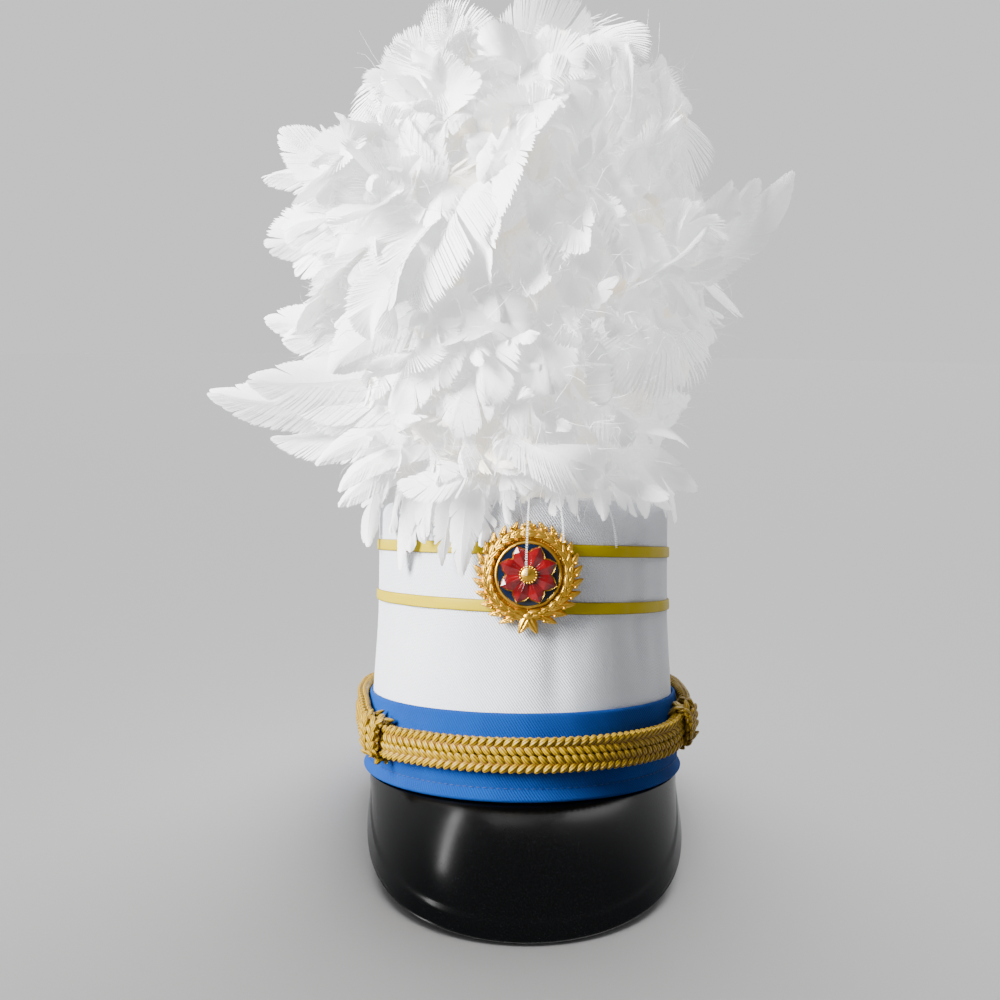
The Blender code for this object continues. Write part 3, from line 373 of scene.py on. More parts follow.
def column(table, index, share):
    """A table's column at these shares of its first column, on a smooth curve with no overshoot."""
    xs = np.array([row[0] for row in table])
    ys = np.array([row[index] for row in table])
    rates = np.diff(ys) / np.diff(xs)
    slopes = np.concatenate([rates[:1], np.zeros(len(rates) - 1), rates[-1:]])
    both = rates[:-1] * rates[1:] > 0.0
    safe = np.where(both, rates[:-1] + rates[1:], 1.0)
    slopes[1:-1] = np.where(both, 2.0 * rates[:-1] * rates[1:] / safe, 0.0)
    share = np.clip(np.asarray(share, float), xs[0], xs[-1])
    i = np.clip(np.searchsorted(xs, share, side="right") - 1, 0, len(rates) - 1)
    step = xs[i + 1] - xs[i]
    t = (share - xs[i]) / step
    value = ys[i] * (1.0 + 2.0 * t) * (1.0 - t) ** 2 + ys[i + 1] * t * t * (3.0 - 2.0 * t)
    return value + step * t * (1.0 - t) * (slopes[i] * (1.0 - t) - slopes[i + 1] * t)


def turns(count):
    """The angles of this many even steps round a circle."""
    return np.linspace(0.0, math.tau, count, endpoint=False)


def run_along(path):
    """How far along a path each of its points lies."""
    return np.concatenate([[0.0], np.cumsum(np.linalg.norm(np.diff(path, axis=0), axis=1))])


def unit(vectors):
    return vectors / np.maximum(np.linalg.norm(vectors, axis=-1, keepdims=True), 1e-12)


def oval(angle, grow, level, scale=1.0):
    """Points this far outside the crown's surface, at angles from the front towards +X."""
    share = column(CROWN_SECTIONS, 1, np.asarray(level) / CROWN_HEIGHT) * scale
    across = (0.5 * FOOT_WIDTH * share + grow) * np.sin(angle)
    along = -(0.5 * FOOT_LENGTH * share + grow) * np.cos(angle)
    return np.stack(np.broadcast_arrays(across, along, level), axis=-1).astype(float)


def oval_out(angle):
    """The crown's outward direction, level with the rim."""
    across = np.sin(angle) / FOOT_WIDTH
    along = -np.cos(angle) / FOOT_LENGTH
    return unit(np.stack(np.broadcast_arrays(across, along, 0.0 * across), axis=-1))


def crown_fold(angle, level):
    """How far the crown's cloth lies outside its plain drum: soft hollows and a slight unevenness."""
    degrees = (np.degrees(angle) + 180.0) % 360.0 - 180.0
    total = 0.0 * degrees * level
    for at, width, depth, low, high in CROWN_HOLLOWS:
        beside = (degrees - at + 180.0) % 360.0 - 180.0
        upright = eased(level, low, low + 0.4 * (high - low)) * (1.0 - eased(level, high - 0.025, high))
        total = total - depth * np.exp(-((beside / width) ** 2)) * upright
    drift = np.sin(3.0 * angle + 18.0 * level) + 0.6 * np.sin(7.0 * angle - 31.0 * level + 1.0)
    belly = eased(level, 0.0, 0.03) * (1.0 - eased(level, 0.125, CROWN_HEIGHT))
    return total - 0.00014 * (1.6 - drift) * belly


def band_face(level):
    share = np.clip(np.asarray(level) / BAND_HEIGHT, 0.0, 1.0)
    return GAP + BAND_THICKNESS + BAND_BULGE * np.sin(math.pi * share)


def band_point(angle, out, level):
    return oval(angle, band_face(level) + out, level)


# Meshes


def make_piece(name, points, quads, finish, slot_name, replaced=(), tris=(), uv=None, lap=0.0, smooth=True):
    """A mesh piece made of quads and triangles, placed in the hat's frame and riding on its body.

    Where the UVs start again after one lap round the hat, lap is that lap's length.
    """
    points = np.asarray(points, float).reshape(-1, 3)
    turn = np.array(HAT)
    world = points @ turn[:3, :3].T + turn[:3, 3]
    quads = np.asarray(quads, np.int32).reshape(-1, 4)
    tris = np.asarray(tris, np.int32).reshape(-1, 3)
    corners = np.concatenate([quads.ravel(), tris.ravel()])
    totals = np.concatenate([np.full(len(quads), 4), np.full(len(tris), 3)])
    mesh = bpy.data.meshes.new(name)
    mesh.vertices.add(len(world))
    mesh.vertices.foreach_set("co", world.ravel())
    mesh.loops.add(len(corners))
    mesh.loops.foreach_set("vertex_index", corners)
    mesh.polygons.add(len(totals))
    mesh.polygons.foreach_set("loop_start", np.concatenate([[0], np.cumsum(totals)[:-1]]))
    mesh.polygons.foreach_set("use_smooth", np.full(len(totals), smooth))
    mesh.update(calc_edges=True)
    if uv is not None:
        corner_uv = np.asarray(uv, float).reshape(-1, 2)[corners]
        if lap:
            face_uv = corner_uv[: 4 * len(quads)].reshape(-1, 4, 2)
            behind = face_uv[..., 0] < face_uv[..., 0].max(axis=1, keepdims=True) - 0.5 * lap
            face_uv[..., 0] += np.where(behind, lap, 0.0)
        layer = mesh.uv_layers.new(name="UVMap")
        layer.data.foreach_set("uv", corner_uv.ravel())
    mesh.materials.append(finish)
    piece = bpy.data.objects.new(name, mesh)
    bpy.context.scene.collection.objects.link(piece)
    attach(piece, "root")
    if replaced:
        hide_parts(*replaced)


def grid_quads(rows, columns, wrap_rows=False, wrap_columns=False):
    """Quads of a grid whose points run along columns first."""
    i = np.arange(rows if wrap_rows else rows - 1)[:, None]
    j = np.arange(columns if wrap_columns else columns - 1)[None, :]
    here = i * columns + j
    right = i * columns + (j + 1) % columns
    above = ((i + 1) % rows) * columns + j
    across = ((i + 1) % rows) * columns + (j + 1) % columns
    return np.stack([here, right, across, above], axis=-1).reshape(-1, 4)


def shell(face, back):
    """A face's grid of points and the wall round it, down to the edge of its back."""
    rows, columns = face.shape[:2]
    index = np.arange(rows * columns).reshape(rows, columns)
    border = np.concatenate([index[0], index[1:, -1], index[-1, -2::-1], index[-2:0:-1, 0]])
    ahead = np.roll(border, -1)
    wall = np.stack([border, ahead, ahead + index.size, border + index.size], axis=-1)
    points = np.concatenate([face.reshape(-1, 3), back.reshape(-1, 3)])
    return points, np.concatenate([grid_quads(rows, columns), wall])


def repeated(faces, count, size):
    """The same faces for each of this many forms, which have this many points each."""
    starts = np.arange(count)[:, None, None] * size
    return (faces[None] + starts).reshape(-1, faces.shape[-1])


def join_parts(parts):
    """Joins (points, quads) parts into one set of points and quads."""
    points, quads, start = [], [], 0
    for part_points, part_quads in parts:
        part_points = np.asarray(part_points).reshape(-1, 3)
        points.append(part_points)
        quads.append(np.asarray(part_quads) + start)
        start += len(part_points)
    return np.concatenate(points), np.concatenate(quads)


def copies(points, quads, frames):
    """The same small form at each frame, a frame being its middle and its three scaled axes."""
    middles = frames[:, 0][:, None, :]
    placed = middles + np.einsum("pk,nkc->npc", points, frames[:, 1:])
    return placed.reshape(-1, 3), repeated(quads, len(frames), len(points))


def ball_form(around, along):
    """A ball of radius 1 with its poles on its first axis."""
    turn = turns(around)
    rise = np.linspace(0.04, math.pi - 0.04, along)
    ring = np.stack([np.zeros(around), np.cos(turn), np.sin(turn)], axis=-1)
    points = ring[None] * np.sin(rise)[:, None, None]
    points[:, :, 0] = -np.cos(rise)[:, None]
    return points.reshape(-1, 3), grid_quads(along, around, wrap_columns=True)


def beads(middles, radius, around=8, along=6):
    """A small ball at each of these places."""
    axes = np.tile(np.eye(3) * radius, (len(middles), 1, 1))
    return copies(*ball_form(around, along), np.concatenate([middles[:, None], axes], axis=1))


def tube(path, radius, sides, normals, flat=1.0):
    """A tube round a closed path, flattened along these normals."""
    ahead = unit(np.roll(path, -1, axis=0) - np.roll(path, 1, axis=0))
    across = unit(np.cross(ahead, normals))
    up = np.cross(across, ahead)
    turn = turns(sides)
    ring = across[:, None] * np.cos(turn)[None, :, None] + up[:, None] * (flat * np.sin(turn))[None, :, None]
    points = path[:, None] + ring * radius
    return points.reshape(-1, 3), grid_quads(len(path), sides, wrap_rows=True, wrap_columns=True)


def lap_uv(angle, run):
    """Texture coordinates in metres, round the hat and along the section."""
    return np.stack([angle / math.tau * GIRTH, np.full(len(angle), run)], axis=-1)


# Materials


def surface(name, colour, roughness, more=()):
    """A new material, with these values on its shader."""
    made = bpy.data.materials.new(name)
    made.use_nodes = True
    values = {"Base Color": (*colour, 1.0), "Roughness": roughness, **dict(more)}
    for key, value in values.items():
        shader_of(made).inputs[key].default_value = value
    return made


def node(made, kind, values=(), links=()):
    """A new node with these input values, and its inputs linked from these sockets."""
    new = made.node_tree.nodes.new(kind)
    for key, value in dict(values).items():
        new.inputs[key].default_value = value
    for key, socket in dict(links).items():
        made.node_tree.links.new(socket, new.inputs[key])
    return new


def shader_of(made):
    return made.node_tree.nodes["Principled BSDF"]


def coordinates(made, kind="Object"):
    return node(made, "ShaderNodeTexCoord").outputs[kind]


def scaled(made, socket, scale, turn=0.0):
    mapping = node(made, "ShaderNodeMapping", {"Scale": scale, "Rotation": (0, 0, turn)}, {"Vector": socket})
    return mapping.outputs["Vector"]


def noise(made, socket, scale, detail=3.0, roughness=0.5):
    values = {"Scale": scale, "Detail": detail, "Roughness": roughness}
    return node(made, "ShaderNodeTexNoise", values, {"Vector": socket}).outputs["Fac"]


def stripes(made, socket, scale, distortion=0.0, direction="X"):
    values = {"Scale": scale, "Distortion": distortion, "Detail": 1.0}
    wave = node(made, "ShaderNodeTexWave", values, {"Vector": socket})
    wave.bands_direction = direction
    return wave.outputs["Fac"]


def maths(made, operation, first, second):
    """One sum on sockets or numbers."""
    new = made.node_tree.nodes.new("ShaderNodeMath")
    new.operation = operation
    for index, value in enumerate((first, second)):
        if isinstance(value, (int, float)):
            new.inputs[index].default_value = value
        else:
            made.node_tree.links.new(value, new.inputs[index])
    return new.outputs[0]


def ramp(made, socket, stops):
    """Colours or greys over a socket's value: (place, colour) stops."""
    new = node(made, "ShaderNodeValToRGB", links={"Fac": socket})
    stops = [(place, value if isinstance(value, tuple) else (value,) * 3) for place, value in stops]
    while len(new.color_ramp.elements) < len(stops):
        new.color_ramp.elements.new(0.5)
    for element, (place, value) in zip(new.color_ramp.elements, stops):
        element.position = place
        element.color = (*value, 1.0)
    return new.outputs["Color"]


def set_colour(made, socket):
    made.node_tree.links.new(socket, shader_of(made).inputs["Base Color"])


def set_roughness(made, socket, low, high):
    spread = node(made, "ShaderNodeMapRange", {"To Min": low, "To Max": high}, {"Value": socket})
    made.node_tree.links.new(spread.outputs["Result"], shader_of(made).inputs["Roughness"])


def set_bump(made, socket, strength, distance):
    bump = node(made, "ShaderNodeBump", {"Strength": strength, "Distance": distance}, {"Height": socket})
    made.node_tree.links.new(bump.outputs["Normal"], shader_of(made).inputs["Normal"])


def blend(made, first, share, second):
    """This share of the first socket's value and the rest of the second's."""
    scaled_first = maths(made, "MULTIPLY", first, share)
    return maths(made, "ADD", scaled_first, maths(made, "MULTIPLY", second, 1.0 - share))


def woven(made, socket, pitch, turn, depth, strength):
    """A twill's slanted ribs and the threads across them, from coordinates in metres."""
    ribs = stripes(made, scaled(made, socket, (1, 1, 1), turn), 0.5 / pitch / math.pi, 0.4)
    threads = stripes(made, socket, 0.5 / pitch / math.pi * 1.7, 0.3, "Y")
    uneven = noise(made, socket, 900.0, 2.0)
    height = maths(made, "ADD", maths(made, "ADD", ribs, maths(made, "MULTIPLY", threads, 0.35)), uneven)
    set_bump(made, height, strength, depth)
    return ribs


def white_twill():
    more = {"Sheen Weight": 0.25, "Sheen Roughness": 0.5, "Specular IOR Level": 0.25}
    made = surface("white_twill", (0.80, 0.80, 0.82), 0.80, more)
    place = coordinates(made, "UV")
    ribs = woven(made, place, 0.00062, math.radians(38.0), 0.00030, 1.0)
    patches = noise(made, place, 22.0, 3.0)
    mixed = blend(made, ribs, 0.25, patches)
    set_colour(made, ramp(made, mixed, ((0.20, (0.68, 0.70, 0.76)), (0.70, (0.79, 0.81, 0.86)))))
    return made


def satin():
    made = surface("yellow_satin", (0.86, 0.62, 0.03), 0.34, {"Specular IOR Level": 0.10})
    place = coordinates(made, "UV")
    across = node(made, "ShaderNodeSeparateXYZ", links={"Vector": place}).outputs["Y"]
    fine = stripes(made, place, 0.5 / 0.00035 / math.pi, 0.2)
    clouds = noise(made, place, 60.0, 2.0)
    # Painted shade: the colour falls to dark brown towards both edges of the ribbon, where they curve in to
    # the crown; the noise adds random tone.
    edges = ramp(made, across, ((0.00, 0.0), (0.12, 1.0), (0.88, 1.0), (1.00, 0.0)))
    lit = maths(made, "MULTIPLY", edges, maths(made, "ADD", maths(made, "MULTIPLY", clouds, 0.4), 0.75))
    tones = ((0.0, (0.16, 0.100, 0.0)), (0.45, (0.36, 0.270, 0.0)), (1.0, (0.47, 0.355, 0.0)))
    set_colour(made, ramp(made, lit, tones))
    set_roughness(made, clouds, 0.32, 0.50)
    set_bump(made, maths(made, "ADD", fine, edges), 0.35, 0.00010)
    return made


def blue_cloth():
    more = {"Sheen Weight": 0.06, "Sheen Tint": (0.1, 0.4, 1.0, 1.0), "Specular IOR Level": 0.12}
    made = surface("blue_cloth", (0.004, 0.13, 0.56), 0.78, more)
    place = coordinates(made, "UV")
    ribs = woven(made, place, 0.00062, math.radians(-35.0), 0.00025, 0.9)
    patches = noise(made, place, 30.0, 3.0)
    mixed = blend(made, ribs, 0.3, patches)
    set_colour(made, ramp(made, mixed, ((0.20, (0.0, 0.026, 0.155)), (0.75, (0.0, 0.045, 0.240)))))
    return made


def thread(name, colour):
    made = surface(name, colour, 0.6)
    set_bump(made, noise(made, coordinates(made), 2500.0, 2.0), 0.4, 0.0001)
    return made


def black_plastic():
    made = surface("black_plastic", (0.006, 0.007, 0.008), 0.10, {"Specular IOR Level": 0.34})
    place = coordinates(made)
    smears = noise(made, place, 35.0, 4.0, 0.6)
    set_roughness(made, smears, 0.13, 0.24)
    set_bump(made, noise(made, place, 26.0, 1.0), 0.10, 0.0012)
    tones = ((0.3, (0.004, 0.005, 0.006)), (0.9, (0.012, 0.013, 0.015)))
    set_colour(made, ramp(made, noise(made, place, 1400.0, 2.0), tones))
    return made


def gold_yarn():
    made = surface("gold_yarn", (0.52, 0.26, 0.004), 0.48, {"Specular IOR Level": 0.35})
    place = coordinates(made, "UV")
    strands = stripes(made, scaled(made, place, (1.0, 1.6, 1.0), math.radians(20.0)), 0.5, 0.4)
    worn = noise(made, coordinates(made), 420.0, 3.0)
    mixed = blend(made, strands, 0.55, worn)
    # Painted shade: the troughs of the stripes, between the yarns, go dark brown; the noise adds random tone.
    tones = ((0.15, (0.09, 0.036, 0.0)), (0.50, (0.31, 0.180, 0.0)), (0.85, (0.52, 0.335, 0.0)))
    set_colour(made, ramp(made, mixed, tones))
    set_roughness(made, worn, 0.30, 0.48)
    set_bump(made, strands, 1.0, 0.00022)
    return made


def gilt():
    made = surface("gilt", (0.86, 0.60, 0.16), 0.30, {"Metallic": 1.0})
    place = coordinates(made)
    grain = noise(made, place, 1600.0, 3.0)
    clouds = noise(made, place, 140.0, 3.0)
    set_colour(made, ramp(made, clouds, ((0.25, (0.60, 0.32, 0.025)), (0.75, (0.82, 0.50, 0.07)))))
    set_roughness(made, clouds, 0.26, 0.42)
    set_bump(made, grain, 0.45, 0.00015)
    return made


def enamel(name, dark, bright):
    made = surface(name, bright, 0.10, {"Coat Weight": 0.5, "Coat Roughness": 0.05})
    place = coordinates(made)
    clouds = noise(made, place, 160.0, 3.0)
    set_colour(made, ramp(made, clouds, ((0.30, dark), (0.75, bright))))
    set_roughness(made, noise(made, place, 500.0, 2.0), 0.06, 0.22)
    set_bump(made, clouds, 0.15, 0.0003)
    return made


def plain_metal():
    made = surface("plain_metal", (0.55, 0.55, 0.57), 0.35, {"Metallic": 1.0})
    place = coordinates(made)
    set_roughness(made, noise(made, place, 300.0, 3.0), 0.28, 0.48)
    set_bump(made, noise(made, scaled(made, place, (1, 1, 9)), 900.0, 2.0), 0.2, 0.0001)
    return made


def feather(name, painted_backlight):
    """White barbs with fine lines along each barb, a painted glow lifting their shade, and for the plume's
    middle a painted warm backlight tint.
    """
    more = {"Sheen Weight": 0.3, "Sheen Roughness": 0.4, "Specular IOR Level": 0.3}
    # Painted glow: the emission lifts the feathers' shade in place of light scattered through them.
    more.update({"Emission Color": (0.92, 0.93, 0.95, 1.0), "Emission Strength": 0.32})
    made = surface(name, (0.90, 0.90, 0.90), 0.55, more)
    place = coordinates(made)
    clouds = noise(made, place, 34.0, 3.0)
    # For the inner feathers the first colour is a painted cream backlight, not the feathers' own colour.
    set_colour(made, ramp(made, clouds, ((0.25, painted_backlight), (0.70, (0.93, 0.93, 0.935)))))
    set_bump(made, noise(made, place, 1800.0, 2.0), 0.2, 0.0002)
    return made


# Cloth pieces


def cloth(name, rows, uv, finish, slot_name, replaced):
    """A closed skin round the hat, from its rows of points and their texture coordinates."""
    quads = grid_quads(len(rows), len(rows[0]), wrap_rows=True, wrap_columns=True)
    make_piece(name, np.array(rows), quads, finish, slot_name, [replaced], uv=np.array(uv), lap=GIRTH)


def crown(finish):
    """The drum as one closed skin: its top, its side with soft hollows, its foot and its inside."""
    angle = np.linspace(-math.pi, math.pi, CROWN_COLUMNS, endpoint=False)
    rows = [(share, 0.0, CROWN_HEIGHT) for share in np.linspace(0.02, 0.9, 12)]
    top = CROWN_HEIGHT - TOP_EDGE_RADIUS
    for turn in np.linspace(0.5 * math.pi, 0.0, 9):
        inward = TOP_EDGE_RADIUS * (1.0 - math.cos(turn))
        rows.append((1.0, -inward, top + TOP_EDGE_RADIUS * math.sin(turn)))
    rows += [(1.0, 0.0, level) for level in np.linspace(top, FOOT_LIFT, 64)[1:]]
    rows += [(1.0, -CROWN_WALL, level) for level in np.linspace(FOOT_LIFT, top - CROWN_WALL, 30)]
    inner_top = CROWN_HEIGHT - CROWN_WALL
    rows += [(share, -CROWN_WALL, inner_top) for share in np.linspace(0.9, 0.02, 10)]
    points, uv = [], []
    run = 0.0
    for index, (scale, grow, level) in enumerate(rows):
        outer = grow > -CROWN_WALL and scale == 1.0
        fold = crown_fold(angle, level) if outer and level < top else 0.0
        points.append(oval(angle, grow + fold, level, scale))
        if index:
            run += np.linalg.norm(points[-1][0] - points[-2][0])
        uv.append(lap_uv(angle, run))
    cloth("crown_cloth", points, uv, finish, "white_twill", "crown")


def ribbon(name, level, slope, finish):
    """A satin ribbon with rounded edges, lying on the crown's cloth."""
    angle = turns(RIBBON_COLUMNS)
    half = 0.5 * RIBBON_HEIGHT
    section = []
    for turn in np.linspace(-0.5 * math.pi, 0.5 * math.pi, 9):
        bow = math.cos(turn) ** 0.35 if abs(turn) < 1.57 else 0.0
        section.append((GAP + RIBBON_THICKNESS * bow, half * math.sin(turn)))
    section += [(GAP, 0.9 * half), (GAP, -0.9 * half)]
    rows, uv = [], []
    for grow, up in section:
        heights = level + up + slope * oval(angle, 0.0, level)[:, 0]
        wave = RIBBON_WAVE * np.sin(21.0 * angle + 3.0 * np.sin(4.0 * angle))
        lie = np.maximum(grow + crown_fold(angle, level), GAP * 0.2)
        rows.append(oval(angle, lie + wave * (grow > GAP), heights))
        uv.append(lap_uv(angle, 0.5 + 0.5 * up / half))
    cloth(f"{name}_satin", rows, uv, finish, "yellow_satin", name)


def base_band(finish, stitching):
    """The band with its rolled hem, a hollow along its stitch line, and the stitches."""
    angle = turns(BAND_COLUMNS)
    section = [(GAP, BAND_HEIGHT), (GAP, 2.0 * HEM_RADIUS)]
    for turn in np.linspace(0.0, math.pi, 9):
        section.append((GAP + HEM_RADIUS * (1.0 - math.cos(turn)), HEM_RADIUS * (1.0 - math.sin(turn))))
    for level in np.linspace(0.14, 0.97, 34) * BAND_HEIGHT:
        hollow = HEM_HOLLOW * math.exp(-(((level - HEM_STITCH_LEVEL) / HEM_HOLLOW_WIDTH) ** 2))
        section.append((float(band_face(level)) - hollow, level))
    section += [(float(band_face(BAND_HEIGHT)) - 0.0003, BAND_HEIGHT), (GAP + 0.0004, BAND_HEIGHT + 0.0001)]
    rows, uv = [], []
    run = 0.0
    for index, (grow, level) in enumerate(section):
        ease = float(eased(level, 0.004, 0.012)) * (grow > 2.0 * GAP)
        ripple = BAND_RIPPLE * np.sin(17.0 * angle + 60.0 * level) * np.sin(5.0 * angle + 1.0) * ease
        pucker = STITCH_PUCKER * np.sin(angle * GIRTH / math.tau / STITCH_PITCH * math.tau)
        pucker = pucker * math.exp(-(((level - HEM_STITCH_LEVEL) / 0.002) ** 2)) * (grow > 2.0 * GAP)
        rows.append(oval(angle, grow + ripple - np.abs(pucker), level))
        if index:
            run += math.dist(section[index], section[index - 1])
        uv.append(lap_uv(angle, run))
    cloth("band_cloth", rows, uv, finish, "blue_cloth", "base_band")
    count = int(GIRTH / STITCH_PITCH)
    at = turns(count)
    middle = oval(at, float(band_face(HEM_STITCH_LEVEL)) - 0.0003, HEM_STITCH_LEVEL)
    out = oval_out(at)
    along = unit(np.cross(out, UP))
    up = np.tile(UP, (count, 1))
    frames = np.stack([middle, along * 0.5 * STITCH_LENGTH, out * STITCH_RADIUS, up * STITCH_RADIUS], axis=1)
    points, quads = copies(*ball_form(6, 6), frames)
    make_piece("hem_stitches", points, quads, stitching, "blue_cloth")


# Peak


def peak_edge(angle):
    """The peak's outer edge, for angles from -90 degrees at the left through the front to 90."""
    ahead = np.maximum(np.cos(angle), 0.0)
    front = 0.5 * FOOT_LENGTH + float(band_face(0.0)) + PEAK_REACH
    across = 0.5 * PEAK_WIDTH * np.sin(angle)
    along = -PEAK_SIDE_DEPTH - (front - PEAK_SIDE_DEPTH) * ahead**PEAK_PLAN_POWER
    return np.stack([across, along, -PEAK_DROP * ahead**PEAK_DROP_POWER], axis=-1)


def peak(finish):
    """The peak's skin, smooth over its crest, with the raised rim that runs inside its edge."""
    fine = np.linspace(-PEAK_END_ANGLE, PEAK_END_ANGLE, 1441)
    run = run_along(peak_edge(fine))
    angle = np.interp(np.linspace(0.0, run[-1], PEAK_COLUMNS), run, fine)
    root = np.linspace(-1.0, 1.0, PEAK_COLUMNS) * PEAK_ROOT_ANGLE
    inside = -CROWN_WALL - 2.0 * GAP
    foot = oval(root, GAP + HEM_RADIUS, 0.0) - 2.0 * GAP * UP
    edge = peak_edge(angle)
    rows = [oval(root, inside, level) for level in np.linspace(PEAK_FLANGE_HEIGHT, FOOT_LIFT, 6)]
    rows.append(oval(root, 0.5 * inside, 0.0) - 2.0 * GAP * UP)
    reach = np.linalg.norm(edge - foot, axis=1)[:, None]
    outward = unit((edge - foot) * [1.0, 1.0, 0.0])
    upward = unit(outward * PEAK_DROP + PEAK_REACH * UP)
    rim = np.maximum(1.0 - PEAK_RIM_WIDTH / reach, 0.5)
    crest = PEAK_BULGE * reach / math.hypot(PEAK_DROP, PEAK_REACH)
    step = PEAK_RIM_STEP / reach
    for part in np.linspace(0.0, 1.0, PEAK_ROWS):
        bead = PEAK_RIM_RISE * eased((part - rim) / step, -1.0, 1.0)
        lip = -PEAK_LIP * eased(part, 0.985, 1.0)
        rows.append(foot + (edge - foot) * part + upward * (crest * 4.0 * part * (1.0 - part) + bead + lip))
    upper = np.array(rows).transpose(1, 0, 2)
    normals = unit(np.cross(np.gradient(upper, axis=0), np.gradient(upper, axis=1)))
    lower = upper + normals * PEAK_WALL
    points, quads = shell(upper, lower)
    under = grid_quads(*upper.shape[:2])[:, ::-1] + len(points) // 2
    quads = np.concatenate([quads, under])
    make_piece("peak_gloss", points, quads, finish, "black_plastic", ["peak"])


# Braid


def cord_middle(angle):
    """The line midway between the cord's two runs: its distance from the band's face, and its level."""
    turn = np.abs(angle)
    level = CORD_LEVEL + (CORD_SIDE_LEVEL - CORD_LEVEL) * eased(turn, CORD_RISE_FROM, CORD_RISE_TO)
    near_knot = 0.0
    for knot in (KNOT_LEFT_ANGLE, KNOT_RIGHT_ANGLE):
        distance = np.abs(angle - knot) * 0.5 * FOOT_LENGTH
        near_knot = np.maximum(near_knot, 1.0 - eased(distance, KNOT_LENGTH, 2.2 * KNOT_LENGTH))
    near_button = eased(turn, BUTTON_ANGLE - math.radians(25.0), BUTTON_ANGLE - math.radians(8.0))
    knot_lift = near_knot * (KNOT_INNER_WALL + KNOT_CLEARANCE)
    lift = np.maximum(knot_lift, near_button * (BUTTON_BASE_THICKNESS + GAP))
    return CORD_SEAT + 0.5 * CORD_DEPTH + lift, level


CORD_LOOP = 0.5 * BUTTON_SHANK_DIAMETER + GAP + 0.5 * CORD_HEIGHT


def cord_place(angle, side):
    out, level = cord_middle(angle)
    beside = 0.5 * (CORD_HEIGHT + GAP)
    apart = eased(np.abs(angle), BUTTON_ANGLE - math.radians(20.0), BUTTON_ANGLE - math.radians(3.0))
    return band_point(angle, out, level + side * (beside + (CORD_LOOP - beside) * apart))


def cord_turn(side_of_hat, steps):
    turn = 0.5 * math.pi - math.pi * np.arange(1, steps) / steps
    angle = side_of_hat * (BUTTON_ANGLE + CORD_LOOP * np.cos(turn) / (0.5 * FOOT_LENGTH))
    out, level = cord_middle(angle)
    return band_point(angle, out, level + CORD_LOOP * np.sin(turn))


def evenly(path):
    """Points a plait's pitch apart round a closed path."""
    path = np.concatenate([path, path[:1]])
    run = run_along(path)
    at = np.linspace(0.0, run[-1], int(round(run[-1] / PLAIT_PITCH)), endpoint=False)
    return np.stack([np.interp(at, run, path[:, axis]) for axis in range(3)], axis=-1)


def plait(path, outward, height, depth):
    """A braid's chevrons: two slanting rows of yarn bundles on each face of a flat core."""
    ahead = unit(np.roll(path, -1, axis=0) - np.roll(path, 1, axis=0))
    across = unit(np.cross(ahead, outward))
    outward = unit(np.cross(across, ahead))
    depth = np.broadcast_to(np.asarray(depth, float), len(path))[:, None]
    frames = []
    for face in (1.0, -1.0):
        for side in (1.0, -1.0):
            slant = unit(ahead * 0.74 + across * (0.67 * side * face) + outward * (0.16 * face))
            beside = unit(np.cross(outward, slant))
            middle = path + across * (0.245 * height * side) + outward * (0.20 * depth * face)
            if side > 0:
                middle = middle + ahead * (0.5 * PLAIT_PITCH)
            long_way = slant * (0.41 * height)
            wide_way = beside * (0.45 * PLAIT_PITCH)
            deep_way = outward * (0.30 * depth)
            frames.append(np.stack([middle, long_way, wide_way, deep_way], axis=1))
    return copies(*ball_form(BUNDLE_SIDES, BUNDLE_RINGS), np.concatenate(frames))


def front_cord(finish, recess_shade_finish):
    """The double cord: one plait that runs across the front and back, and round both buttons."""
    angle = np.linspace(-BUTTON_ANGLE, BUTTON_ANGLE, 400)
    right = cord_turn(1.0, 24)
    left = cord_turn(-1.0, 24)[::-1]
    route = np.concatenate([cord_place(angle, 1.0), right, cord_place(angle[::-1], -1.0), left])
    path = evenly(route)
    outward = oval_out(np.arctan2(path[:, 0], -path[:, 1]))
    bundles = plait(path, outward, CORD_HEIGHT, CORD_DEPTH)
    uv = braid_uv(len(bundles[0]))
    make_piece("front_braid", *bundles, finish, "gold_yarn", ["front_cord"], uv=uv)
    # The core carries painted shade for the recesses between the bundles.
    core = tube(path, 0.40 * CORD_HEIGHT, 10, outward, 0.62)
    make_piece("braid_core", *core, recess_shade_finish, "gold_yarn")


def braid_uv(count):
    """Turns round a yarn bundle and runs along it, the same for each bundle."""
    round_way = np.tile(np.arange(BUNDLE_SIDES) / BUNDLE_SIDES, BUNDLE_RINGS)
    long_way = np.repeat(np.arange(BUNDLE_RINGS) / BUNDLE_RINGS, BUNDLE_SIDES)
    one = np.stack([round_way * YARNS_A_BUNDLE, long_way], axis=-1)
    return np.tile(one, (count // len(one), 1))


